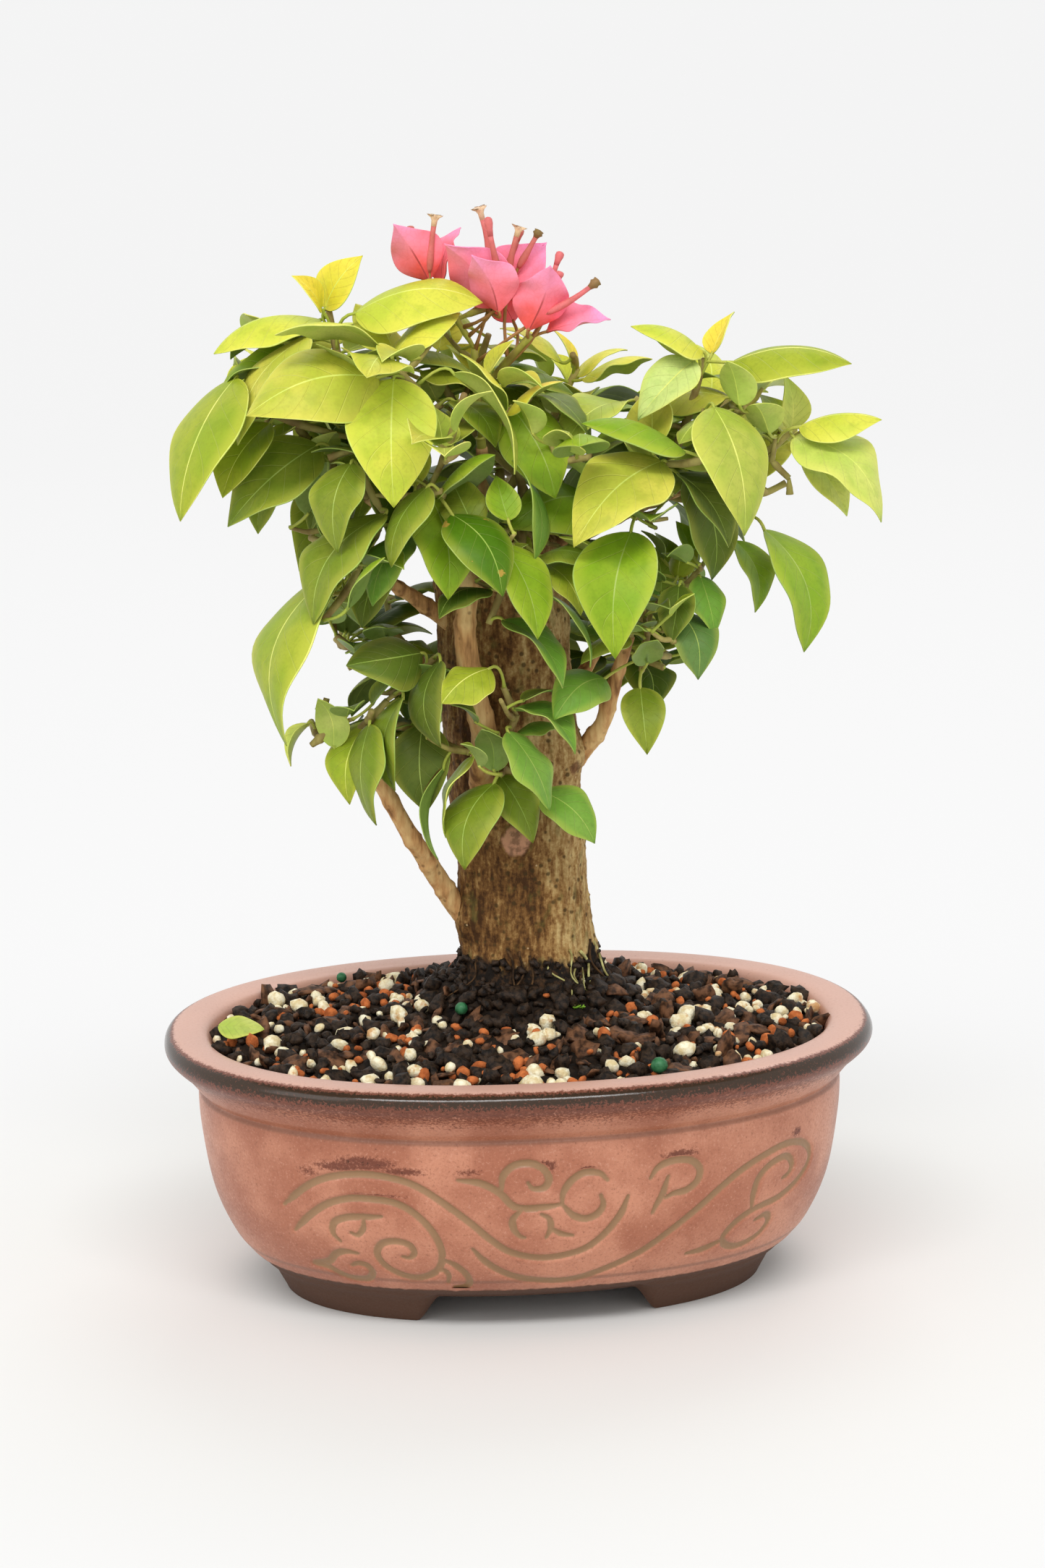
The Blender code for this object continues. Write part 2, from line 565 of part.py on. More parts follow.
def within_outline(places):
    """Whether all of the places lie within the crown's outline, seen from the viewpoint."""
    for place in places:
        spot = VIEWPOINT + (place - VIEWPOINT) * (VIEWPOINT.y / (VIEWPOINT.y - place.y))
        inside = False
        for index, (across, high) in enumerate(CROWN_OUTLINE):
            last_across, last_high = CROWN_OUTLINE[index - 1]
            if (high > spot.z) != (last_high > spot.z):
                share = (spot.z - high) / (last_high - high)
                if spot.x < across + share * (last_across - across):
                    inside = not inside
        if not inside:
            return False
    return True


class Mass:
    """One mass of leaves: its twigs, which branch from one stem, and the leaves on them."""

    def __init__(self, name, start, middle=Vector(), reach=None):
        self.name = name
        self.middle = middle
        self.reach = reach
        self.twigs = []
        self.leaves = []
        foot, way = start
        self.nodes = [(foot, 0.0), (foot + way * STEM_LENGTH, STEM_LENGTH)]
        self.lines = [[foot, foot + way * STEM_LENGTH]]
        self.forks = []
        self.roots = []

    def holds(self, place):
        away = place - self.middle
        return sum((away[axis] / self.reach[axis]) ** 2 for axis in range(3)) <= 1.0

    def nearest_node(self, tip):
        """The node that makes the shortest way to a tip, and how far along the twigs it is."""
        def cost(node):
            place, run = node
            return (tip - place).length + 0.4 * run + FORK_SPACING * self.forks.count(place)

        return min(self.nodes[1:], key=cost)

    def branch(self, tip, rng, sag=TWIG_SAG):
        """Adds a twig to the tip from the node that makes the shortest way there."""
        foot, run = self.nearest_node(tip)
        self.forks.append(foot)
        gap = tip - foot
        bow = UP * (gap.length * sag)
        bow += Vector([rng.uniform(-1, 1) for _ in range(3)]) * (gap.length * TWIG_WANDER)
        steps = max(2, round(gap.length / TWIG_STEP))
        line = [foot]
        for step in range(1, steps + 1):
            share = step / steps
            place = foot + gap * share - bow * (4 * share * (1 - share))
            line.append(place)
            self.nodes.append((place, run + gap.length * share))
        self.lines.append(line)
        return line

    def branch_within(self, tip, rng):
        """Adds a twig that stays within the crown's outline, drawn in towards the middle if need be."""
        for _ in range(DRAW_IN_MOST):
            foot, _ = self.nearest_node(tip)
            if within_outline([foot.lerp(tip, share) for share in TWIG_PLACES]):
                break
            tip = self.middle.lerp(tip, DRAW_IN)
        return self.branch(tip, rng)

    def root_for(self, foot):
        """The nearest place on the twigs to a leaf's foot that no other leaf has taken."""
        places = [walk_back(line, away) for line in self.lines[1:]
                  for away in range(1, int(line_length(line)), LEAF_SPACING)]
        free = [place for place in places if all((place - root).length > LEAF_SPACING / 2
                                                 for root in self.roots)]
        root = min(free or places, key=lambda place: (place - foot).length)
        self.roots.append(root)
        return root

    def make_twigs(self):
        """The twigs as solids, each as thick as the way on from it to the mass's furthest tip."""
        longest = max(run for _, run in self.nodes)
        runs = {tuple(place): run for place, run in self.nodes}
        for line in self.lines:
            radii = [TWIG_TIP_RADIUS + TWIG_TAPER * (longest - runs[tuple(place)]) for place in line]
            if len(self.twigs):
                radii[-1] = TWIG_TIP_RADIUS
                radii[0] *= TWIG_ROOT_SHARE
            self.twigs.append(tube(line, radii, TWIG_SIDES))


def start_of(start, trunk):
    """Where a mass's stem begins and the way it goes, just clear of its bough's tip or of the trunk."""
    if isinstance(start, str):
        path, _ = bough_line(start)
        way = (path[-1] - path[-2]).normalized()
        return path[-1] + way * GAP, way
    place, way = Vector(start[0]), Vector(start[1]).normalized()
    if place.z < TRUNK_TOP:
        hit = trunk.ray_cast(place + way * 30, -way)[0]
        return hit + way * (3 * GAP), way
    return place + UP * GAP, UP


def shoot_tips(mass, count, rng):
    """Seeded tips spread over the outer side of a mass's space, away from the trunk."""
    out = Vector((mass.middle.x - TRUNK_SECTIONS[-1][1], mass.middle.y - TRUNK_Y, 0))
    tips = []
    turn = rng.uniform(0, 360)
    for index in range(count):
        level = 0.75 - 1.3 * (index + 0.5) / count
        heading = math.radians(turn + TURN_PER_LEAF * index)
        way = Vector((math.cos(heading), math.sin(heading), 0)) * math.sqrt(1 - level * level)
        if way.dot(out) < 0:
            way -= out * (1.6 * way.dot(out) / out.length_squared)
        way.z = level
        way.normalize()
        share = rng.uniform(0.5, 0.72)
        tips.append(mass.middle + Vector([way[axis] * mass.reach[axis] * share for axis in range(3)]))
    return sorted(tips, key=lambda tip: (tip - mass.nodes[0][0]).length)


def touches(shape, others):
    """Whether a shape crosses any of the others, which are given as sorted faces."""
    mine = tree_of(shape)
    return any(mine.overlap(other) for other in others)


class Grower:
    """Grows every mass's leaves, and keeps each one clear of all that is there already."""

    def __init__(self, limbs, masses):
        self.limbs = [tree_of(shape) for shape in limbs]
        self.solids = {mass.name: [tree_of(twig) for twig in mass.twigs] for mass in masses}
        self.blades = {mass.name: [] for mass in masses}
        self.leaves = {mass.name: [] for mass in masses}
        self.sights = []
        for across, high in OPEN_SKY:
            way = Vector((across, 0, high)) - VIEWPOINT
            self.sights.append((way.normalized(), SKY_REACH * way.length))

    def keep_in_view(self, foot, blade):
        """Marks places on a front leaf that no leaf of the rule may hide."""
        frame, length, breadth, arch, _ = blade
        for share, wide in SEEN_PLACES:
            place = blade_line(foot, frame, length, arch, share) + frame[1] * (length * breadth * wide)
            way = place - VIEWPOINT
            self.sights.append((way.normalized(), way.length - SIGHT_SPARE))

    def spoils_view(self, shape):
        """Whether a shape stands out of the outline, or hides a front leaf or a gap of sky."""
        if not within_outline(shape[0]):
            return True
        tree = tree_of(shape)
        return any(tree.ray_cast(VIEWPOINT, way, reach)[0] for way, reach in self.sights)

    def keep(self, mass, leaf):
        mass.leaves.append(leaf)
        self.solids[mass.name].append(tree_of(leaf))
        self.leaves[mass.name].append(self.solids[mass.name][-1])

    def try_leaf(self, mass, root, foot, blade, stations, nudges, behind=False):
        """Adds a leaf where it is clear of limbs, of other masses and of its own mass's blades, and
        hides nothing that stays in view if it goes behind. Gives the place of its foot."""
        foreign = list(self.limbs)
        for name, trees in self.solids.items():
            if name != mass.name:
                foreign += trees
        for nudge in nudges:
            moved = foot + blade[0][2] * nudge
            rings, tip = leaf_rings(root, moved, blade, stations, LEAF_CLEARANCE)
            if touches(loft(rings, tip), foreign + self.blades[mass.name]):
                continue
            if touches(loft(rings[1:], tip), self.leaves[mass.name]):
                continue
            rings, tip = leaf_rings(root, moved, blade, stations)
            if behind and self.spoils_view(loft(rings, tip)):
                continue
            self.keep(mass, loft(rings, tip))
            self.blades[mass.name].append(tree_of(loft(rings[1:], tip)))
            return moved
        return None

    def front_leaves(self, mass, rows, rng):
        for x, y, z, heading, pitch, length, turn in rows:
            foot = Vector((x, y, z))
            blade = (blade_frame(heading, pitch, turn), length, BLADE_BREADTH, rng.uniform(0.05, 0.11),
                     rng.uniform(4, 12))
            moved = self.try_leaf(mass, mass.root_for(foot), foot, blade, FULL_STATIONS, NUDGES)
            if moved:
                self.keep_in_view(moved, blade)

    def shoot_leaves(self, mass, line, size, rng):
        """Leaves along a shoot, small and upright at its tip, larger and drooping lower down."""
        run = line_length(line)
        turn = rng.uniform(0, 360)
        done = 0.0
        index = 0
        while done < run * LEAFED_SHARE and index < MOST_LEAVES:
            age = min(1.0, index / FULL_GROWN)
            root = walk_back(line, done)
            out = root - Vector((TRUNK_SECTIONS[-1][1], TRUNK_Y, root.z))
            heading = turn + TURN_PER_LEAF * index
            outward = math.degrees(math.atan2(out.y, out.x))
            swing = (heading - outward + 180) % 360 - 180
            heading = outward + swing * (1 - 0.35 * age)
            pitch = TIP_PITCH - PITCH_DROP * age ** 0.7 + rng.uniform(-10, 10)
            length = size * (0.5 + 0.55 * math.sin(math.pi * (0.1 + 0.55 * age))) * rng.uniform(0.88, 1.1)
            reach = rng.uniform(5, 8) + 2 * age
            turned = rng.uniform(-20, 20)
            arch = rng.uniform(0.05, 0.12)
            fold = rng.uniform(4, 12)
            for swing in SWINGS:
                rise = pitch * 0.4 + 15
                foot = root + blade_frame(heading + swing, rise, 0)[0] * reach
                blade = (blade_frame(heading + swing, pitch, turned), length, BLADE_BREADTH, arch, fold)
                if not mass.holds(blade_line(foot, blade[0], length, arch, 0.85)):
                    continue
                if self.try_leaf(mass, root, foot, blade, PLAIN_STATIONS, NUDGES[:3], True):
                    break
            done += 3.5 + 4.5 * age + rng.uniform(0, 2)
            index += 1


def line_length(line):
    return sum((line[index + 1] - line[index]).length for index in range(len(line) - 1))


def walk_back(line, distance):
    """The place on a line a given distance back from its end."""
    for index in range(len(line) - 1, 0, -1):
        leg = (line[index] - line[index - 1]).length
        if distance <= leg:
            return line[index].lerp(line[index - 1], distance / leg)
        distance -= leg
    return line[0]


def side_twigs(mass, rows, rng):
    """A leaf that sits further than a stalk's length from the twigs gets a side twig to hang on."""
    for x, y, z, heading, _, _, _ in rows:
        foot = Vector((x, y, z))
        near = min((place for place, _ in mass.nodes[1:]), key=lambda place: (place - foot).length)
        if (near - foot).length > STALK_REACH:
            back = Vector((math.cos(math.radians(heading)), math.sin(math.radians(heading)), 0.3))
            mass.branch(foot - back * SIDE_TWIG_SETBACK, rng)


def grow_masses(trunk):
    """Every mass with its twigs, then the blossom's bracts and flowers, and then all the leaves."""
    masses = []
    shoots = {}
    for name, plan in MASSES.items():
        rng = random.Random(plan["seed"])
        mass = Mass(name, start_of(plan["start"], trunk), Vector(plan["middle"]), plan["reach"])
        shoots[name] = [mass.branch(Vector(tip), rng) for tip in plan["shoots"]]
        shoots[name] += [mass.branch_within(tip, rng) for tip in shoot_tips(mass, plan["more"], rng)]
        side_twigs(mass, FRONT_LEAVES.get(name, ()), rng)
        mass.make_twigs()
        masses.append(mass)
    blossom = Mass(BLOSSOM_NODE, start_of(BLOSSOM_START, trunk))
    rng = random.Random(BLOSSOM_SEED)
    for tip in BLOSSOM_SHOOTS:
        blossom.branch(Vector(tip), rng, 0.0)
    blossom.make_twigs()
    masses.append(blossom)
    limbs = [trunk_shape(), soil_shape()]
    for name in BOUGHS:
        path, radii = bough_line(name)
        limbs.append(tube(path, [radius + GAP for radius in radii], 8))
    grower = Grower(limbs, masses)
    for x, y, z, heading, pitch, length, turn in BRACTS:
        foot = Vector((x, y, z))
        blade = (blade_frame(heading, pitch, turn), length, BRACT_BREADTH, BRACT_ARCH, BRACT_FOLD)
        grower.try_leaf(blossom, blossom.root_for(foot), foot, blade, FULL_STATIONS, NUDGES)
    for x, y, z, heading, pitch, length in FLOWERS:
        add_flower(grower, blossom, Vector((x, y, z)), blade_frame(heading, pitch, 0)[0], length)
    for mass in masses[:-1]:
        rng = random.Random(MASSES[mass.name]["seed"] + 1)
        grower.front_leaves(mass, FRONT_LEAVES.get(mass.name, ()), rng)
    for mass in masses[:-1]:
        rng = random.Random(MASSES[mass.name]["seed"] + 2)
        for line in shoots[mass.name]:
            grower.shoot_leaves(mass, line, MASSES[mass.name]["size"], rng)
    return masses


def add_flower(grower, blossom, foot, way, length):
    """A slim tube with a spread mouth, on a fine stalk from the blossom's twig."""
    path = [blossom.root_for(foot), foot, foot + way * (length * 0.85), foot + way * length]
    radii = [STALK_ROOT_RADIUS, FLOWER_RADIUS, FLOWER_RADIUS * 0.8, FLOWER_MOUTH_RADIUS]
    grower.keep(blossom, tube(path, radii, TWIG_SIDES))


def islands(mesh_edit):
    """The mesh's separate bodies, each as a list of faces."""
    left = set(mesh_edit.faces)
    found = []
    while left:
        body = []
        edge_of_search = [left.pop()]
        while edge_of_search:
            face = edge_of_search.pop()
            body.append(face)
            for edge in face.edges:
                for other in edge.link_faces:
                    if other in left:
                        left.remove(other)
                        edge_of_search.append(other)
        found.append(body)
    return found


def fuse(mass, parts):
    """Joins a mass's twigs and leaves into one body, and drops sealed hollows and loose scraps."""
    stem, *others = mass.twigs + mass.leaves
    bundle = new_collection(mass.name + "_pieces")
    for index, shape in enumerate(others):
        add_object(f"{mass.name}_piece_{index}", shape, bundle)
    body = add_object(mass.name + "_stem", stem, parts)
    join = body.modifiers.new("join", "BOOLEAN")
    join.operation = "UNION"
    join.operand_type = "COLLECTION"
    join.collection = bundle
    join.solver = "MANIFOLD"
    seen = body.evaluated_get(bpy.context.evaluated_depsgraph_get())
    mesh = bpy.data.meshes.new_from_object(seen)
    mesh.name = mass.name
    for item in list(bundle.objects) + [body]:
        bpy.data.objects.remove(item, do_unlink=True)
    bpy.data.collections.remove(bundle)
    edit = bmesh.new()
    edit.from_mesh(mesh)
    bodies = sorted(islands(edit), key=len)
    scraps = [face for body_faces in bodies[:-1] for face in body_faces]
    bmesh.ops.delete(edit, geom=scraps, context="FACES")
    bmesh.ops.triangulate(edit, faces=edit.faces)
    edit.to_mesh(mesh)
    edit.free()
    mesh.materials.clear()
    mesh.materials.append(new_material("bract" if mass.name == BLOSSOM_NODE else "leaf", mass.name))
    item = bpy.data.objects.new(mass.name, mesh)
    parts.objects.link(item)


def main():
    clear_scene()
    parts = new_collection("bougainvillea_bonsai")
    cutters = new_collection("cutters")
    make_pot(parts, cutters)
    add_object("soil", soil_shape(), parts, "potting_mix")
    trunk = trunk_shape()
    add_object("trunk", trunk, parts, "bark")
    trunk_cutter = as_cutter(add_object("trunk_cutter", trunk_shape(GAP), cutters))
    for name in BOUGHS:
        make_bough(name, parts, trunk_cutter)
    for mass in grow_masses(tree_of(trunk)):
        fuse(mass, parts)


main()
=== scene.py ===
"""The looks of a bougainvillea bonsai in an oval glazed pot.

Places and lengths are in millimetres and angles in degrees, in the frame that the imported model
has. The twigs and leaves grow by the rule that its solids follow, carried on to finer ones.
"""

import json
import math
import random
from itertools import accumulate

import bmesh
import bpy
import numpy as np
from mathutils import Matrix, Vector, noise
from mathutils.bvhtree import BVHTree
from mathutils.kdtree import KDTree

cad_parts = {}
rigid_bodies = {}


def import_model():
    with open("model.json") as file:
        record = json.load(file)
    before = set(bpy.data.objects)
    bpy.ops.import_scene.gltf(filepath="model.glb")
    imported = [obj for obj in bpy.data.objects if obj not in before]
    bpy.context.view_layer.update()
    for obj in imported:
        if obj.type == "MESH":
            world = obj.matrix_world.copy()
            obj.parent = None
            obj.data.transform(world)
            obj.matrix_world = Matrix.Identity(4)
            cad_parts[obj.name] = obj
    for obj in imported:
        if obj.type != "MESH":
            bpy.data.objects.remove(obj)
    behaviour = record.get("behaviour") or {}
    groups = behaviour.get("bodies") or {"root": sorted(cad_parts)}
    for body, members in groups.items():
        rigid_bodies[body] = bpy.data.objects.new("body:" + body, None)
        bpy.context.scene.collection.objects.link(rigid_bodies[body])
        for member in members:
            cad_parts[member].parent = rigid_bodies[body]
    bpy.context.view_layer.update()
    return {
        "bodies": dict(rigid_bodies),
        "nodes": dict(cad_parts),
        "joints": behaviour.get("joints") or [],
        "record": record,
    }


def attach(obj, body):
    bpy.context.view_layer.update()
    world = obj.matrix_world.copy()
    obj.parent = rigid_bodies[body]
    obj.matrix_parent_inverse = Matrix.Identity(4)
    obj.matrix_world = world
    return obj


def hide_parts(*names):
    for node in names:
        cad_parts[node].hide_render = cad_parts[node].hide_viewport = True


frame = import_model()

MM = 0.001
GAP = 0.3
UP = Vector((0, 0, 1))
# Enough of a turn, in radians, to face anywhere
ANY_TURN = 6.3
# How a seed shifts the noise along each axis
NOISE_SHIFT = (1, 1.7, -1)

# Camera: where it stands round the plant, what it looks at, and how it is tilted
CAMERA_AZIMUTH = -5.5
CAMERA_DISTANCE = 965.0
CAMERA_HEIGHT = 350.0
CAMERA_TARGET = Vector((2.2, 0.0, 144.0))
CAMERA_ROLL = -0.95
CAMERA_LENS = 79.95
CAMERA_FAR_END = 20

# Pot: an oval whose sections are superellipses
POT_SEGMENTS = 960
POT_SQUARENESS = 2.2
POT_HALF_WIDTH = 101.5
POT_HALF_DEPTH = 76.2
# Height, and how far in from the widest oval: up the inside of the foot, under it and up its
# outside, then the wall, then over the rim, and at last down the inside
POT_FOOT = (
    (8.0, 40.5), (7.4, 39.4), (4.0, 40.6), (0.8, 41.9), (0.0, 41.0), (0.0, 33.2), (0.7, 32.2),
    (4.0, 30.4), (7.2, 28.6), (9.6, 26.0), (11.0, 25.0), (12.6, 22.8), (14.0, 21.5),
)
POT_WALL = (
    (14.0, 21.5), (18.5, 18.1), (27.0, 14.1), (36.0, 11.6), (50.0, 9.6), (58.6, 9.3), (59.6, 10.2),
    (60.6, 9.6), (62.0, 8.2),
)
POT_RIM = (
    (62.0, 8.2), (66.0, 5.0), (68.6, 2.2), (70.4, 0.6), (72.2, 0.0), (74.0, 0.5), (75.2, 1.7),
    (75.9, 3.6), (76.0, 7.0), (75.7, 10.2), (74.6, 12.2), (72.0, 13.4),
)
POT_INSIDE = ((72.0, 13.4), (62.0, 15.0), (40.0, 18.5), (24.0, 25.0), (16.0, 34.0))
# How many places each leg of those profiles gets, and how many rows the engraved wall has
POT_FOOT_STEPS = 3
POT_WALL_STEPS = 12
POT_RIM_STEPS = 4
POT_WALL_ROWS = 96
# The angles round the pot are even along an oval this far in, measured with so many samples each
EVEN_INSET = 10.0
EVEN_SAMPLES = 8
# The arch in the front and back of the foot: half its length below and above, its height, how many
# rows lie inside the foot, and up to what height it lifts the rows outside
ARCH_FOOT_HALF = 34.0
ARCH_TOP_HALF = 27.0
ARCH_HEIGHT = 7.5
ARCH_INSIDE_ROWS = 12
ARCH_OUTSIDE_TOP = 11.0
DRAIN_PLACES = (-36.0, 36.0)
DRAIN_RADIUS = 6.0
DRAIN_SIDES = 48
DRAIN_MIDDLE_Z = 12.0

# Scroll engraving on the front and back wall: half a groove's width, its depth, how wide its soft
# margin is, how far it tapers at its ends, and the places that each groove passes, across and up
GROOVE_HALF = 1.1
GROOVE_DEPTH = 0.8
GROOVE_SOFT = 1.1
GROOVE_TAPER = 5.0
GROOVE_STEPS = 12
GROOVES = (
    ((-70, 37.5), (-63, 44.5), (-57, 48), (-49, 49.8), (-41, 49.3), (-34, 47), (-27, 42), (-20, 36),
     (-15, 31), (-9, 26.5), (0, 24.4), (10, 26), (16, 30), (21, 36.5), (23, 42)),
    ((-68.5, 30), (-63, 36), (-58, 40), (-52, 42.3), (-46, 42.6), (-40, 41.8), (-35, 38.8), (-31, 34),
     (-29, 29), (-29, 24.5), (-31, 20.5), (-36, 18), (-41, 18.5), (-45.5, 21.5), (-47, 25.5), (-45, 29),
     (-41, 30), (-37.5, 29), (-36.5, 26.5), (-38, 24.8), (-40, 25)),
    ((-29, 24.5), (-25.5, 22.5), (-22.8, 19.5), (-22, 16.5), (-23.5, 14.8), (-27, 14.4)),
    ((-31, 20.5), (-28.8, 20.6), (-27.8, 18.6), (-28.5, 16.4)),
    ((-44, 37.5), (-48, 37), (-53, 36.5), (-57, 34.5), (-58, 31), (-56.5, 28.5)),
    ((-49, 36.5), (-49.4, 33.5), (-51.2, 31.2), (-53, 31.6)),
    ((-66.5, 20), (-62, 21), (-59, 24), (-56, 25.3), (-52.5, 25)),
    ((-67, 19.2), (-63, 19), (-60, 17), (-57, 15.8), (-52.5, 16.2), (-50.2, 18.6), (-51, 21),
     (-53.5, 21.6), (-55.5, 20.6)),
    ((-23, 49), (-17, 48), (-12, 45), (-9, 41.5), (-6, 40.2), (0, 40.3), (4.8, 41)),
    ((-11.5, 45.5), (-11, 50), (-8, 53), (-3.5, 53.4), (0, 51.4), (1.2, 48.5), (0, 46.2), (-3, 46),
     (-4.4, 47.8)),
    ((-6, 40), (-8.6, 37), (-8.4, 34), (-6.8, 31.8), (-5.4, 31.2)),
    ((4.8, 41), (5.2, 44.5), (7.5, 48), (11, 50), (15, 49.4), (17.2, 47.2)),
    ((4.8, 41), (8, 37.4), (11.5, 36.2), (14.6, 37.4), (16.2, 40), (15.4, 43)),
    ((-0.8, 38.2), (1.3, 36.8), (1.8, 34), (0.6, 31)),
    ((1.8, 34), (4.6, 32), (8, 31.2)),
    ((29, 46.5), (31, 49.5), (35, 51), (40, 50.4), (42.8, 47.5), (42.4, 44), (39.5, 41.7), (36, 41.2),
     (33.5, 40.2)),
    ((34, 46.5), (33.2, 43.5), (32.6, 41), (31.2, 38.5), (30.2, 36)),
    ((-20, 28), (-17, 24), (-12, 20), (-6, 17.5), (2, 16.1), (9, 16.2), (16, 18.2), (24, 21.6), (30, 25),
     (37, 30.5), (44, 36), (50, 41), (56, 45), (63, 47.8), (69, 48.9), (74, 47.5), (77, 44), (77, 40),
     (74, 36), (69, 33), (64, 32), (60, 31), (56, 28.5), (53.6, 25), (54.6, 22), (58, 20.2), (62, 20.2),
     (65.8, 22.2), (67.4, 26), (65.8, 28.4), (62.5, 27.6)),
    ((60.4, 31.5), (60, 36), (61, 41), (64.6, 44.3), (69.3, 45), (71.4, 42), (70.6, 39.4),
     (68.8, 38.6)),
    ((54, 23.6), (48, 21.5), (43, 21)),
)
# Where the glaze broke dark over the scroll: the place, half its length and height, and how dark
STAINS = (
    (-54, 51.6, 7, 1.3, 0.56), (-47, 53.1, 8, 1.8, 0.62), (-37, 51.3, 6, 1.1, 0.50),
    (-62, 49, 4, 2.2, 0.28), (-44, 43.8, 8, 0.7, 0.37), (0.8, 52.6, 2.2, 1.6, 0.62),
    (-4, 47.2, 1.2, 0.6, 0.56), (11.5, 51.3, 2.4, 0.7, 0.43), (15.6, 42, 0.9, 0.9, 0.62),
    (37, 52.8, 5, 1.2, 0.56), (71.5, 51.6, 1.7, 1.4, 0.50), (70.3, 45, 0.9, 0.7, 0.62),
    (-20, 51.4, 4, 1.0, 0.37),
)
# Their strength, the most and the least that shows, and the deepest part of a groove that they cover
STAIN_STRENGTH = 1.5
STAIN_MOST = 0.64
STAIN_LEAST = 0.1
STAIN_COVER = 0.3
# How dark the rim's outside is at each height
DARK_BAND = (
    (63.0, 0.0), (65.5, 0.26), (68.0, 0.46), (70.2, 0.60), (71.6, 0.76), (73.0, 1.05), (74.8, 1.15),
    (75.4, 0.7), (75.9, 0),
)
# Where the scroll is measured out along the wall
ENGRAVED_Z = 36.0
ENGRAVED_INSET = 11.6
ENGRAVED_SAMPLES = 721
# Glaze: its colours, and the heights of the fine dark lines in it
GLAZE = dict(
    mean=(0.46, 0.19, 0.115), deep=(0.37, 0.125, 0.065), light=(0.55, 0.232, 0.138),
    speck=(0.25, 0.088, 0.045), fleck=(0.68, 0.39, 0.28), top=(0.66, 0.40, 0.32),
    line=(0.20, 0.085, 0.045), groove=(0.27, 0.165, 0.075), broken=(0.135, 0.028, 0.010),
    black=(0.030, 0.013, 0.003), clay=(0.085, 0.036, 0.018),
)
GLAZE_LINES = (59.4, 16.4)
# How far from their middle those lines fade, between which heights the glaze turns pale below the
# rim, and between which the bare clay begins
LINE_WIDTH = (0.2, 1.0)
PALE_BAND = (70.0, 75.6)
CLAY_BORDER = (12.6, 13.4)

# Soil: a mound from the pot's wall up to the trunk's seat, with clods, and a heap round the trunk
SOIL_EDGE_INSET = 14.0
SOIL_EDGE_Z = 72.6
SOIL_TOP = 77.0
SOIL_SEAT_RADIUS = 31.0
SOIL_HEAP = 7.0
SOIL_HEAP_RISE = 0.3
SOIL_CLOD_SPACING = 14.0
SOIL_CLOD_HEIGHT = 2.5
SOIL_CLOD_WANDER = (1.3, 12.0)
SOIL_CLOD_FADE = 3
# Its fine bed: sides, rows, how far in it goes, the size, height and seed of its relief, how many
# rows that rises over at the wall, how far the bed lies below the mound, and the foot of its skirt
SOIL_SIDES = 240
SOIL_ROWS = 60
SOIL_BED_REACH = 1.45
SOIL_BED_RELIEF = ((3.0, 0.9, 0.0), (1.2, 0.5, 4))
SOIL_BED_EDGE = 3
SOIL_BED_DROP = 1.2
SOIL_SKIRT_Z = 60.0
# Loose grains: seed, number, how far in they lie, how much thinner they lie there and on the heap,
# how close two may lie, the squares that they are sorted in, and where nearly all of them are dark
SOIL_SEED = 41
GRAINS = 1500
GRAIN_TRIES = 6
GRAIN_REACH = 1.42
GRAIN_THINNING = (0.62, 0.3)
GRAIN_SPACING = 0.6
GRAIN_SQUARE = 9
DARK_ZONE = 0.95
DARK_ZONE_SHARE = 0.8
# Each kind's share of them, its half length, how flat and how rough it is, and whether it is rounded
GRAIN_KINDS = {
    "dark": (0.40, (1.2, 4.0), (0.55, 0.8), 0.75, False),
    "flake": (0.26, (1.6, 5.0), (0.22, 0.4), 0.75, False),
    "pumice": (0.19, (1.1, 3.5), (0.65, 0.95), 0.24, True),
    "grit": (0.15, (0.8, 2.4), (0.6, 0.9), 0.24, True),
}
GRAIN_SHAPES = 6
GRAIN_BREADTH = (0.5, 0.9)
GRAIN_SINK = (-0.35, 0.25)
# Two sizes of relief on a grain: scale, how far apart two grains' are taken, and strength
ROCK_RELIEF = ((1.1, (3.1, 0, 0), 1), (2.6, (0, 5.3, 0), 0.5))
# Dark clods that cling to the trunk: number, least height and range, how they crowd at its foot,
# how far they stand off it, and half length
CLODS = 260
CLOD_HEIGHTS = (4, 11)
CLOD_CROWDING = 1.6
CLOD_LIFT = 0.2
CLOD_SIZES = (0.6, 1.7)
# Beads of fertiliser: place and radius. One fallen leaf: place, heading, pitch, turn and length.
BEADS = ((-48.5, 50, 76.0, 1.6), (-16.8, -4.0, 80.0, 1.9), (33, -56, 76.2, 2.4))
FALLEN_LEAF = (Vector((-86.0, -3.0, 77.6)), -18, -2, 30, 13.5)
LITTER_ARCH = 0.03
LITTER_FOLD = 6.0
# Seedlings: their places, the headings of their leaves and how those turn with the place, pitch,
# length and rows, and the stem's length, radius and sides
SEEDLINGS = ((15.5, -7.0, 79.6), (17.3, -6.4, 79.4))
SEEDLING_LEAVES = (20, 150, 260)
SEEDLING_TURN = 30
SEEDLING_PITCH = 20
SEEDLING_LENGTH = 1.9
SEEDLING_ROWS = 5
SEEDLING_STEM = (3, 0.3, 5)

# Trunk: a near cylinder with a root flare, cut off flat at both ends
TRUNK_SIDES = 20
TRUNK_Y = 18.0
TRUNK_FOOT = SOIL_TOP + GAP
TRUNK_TOP = 214.0
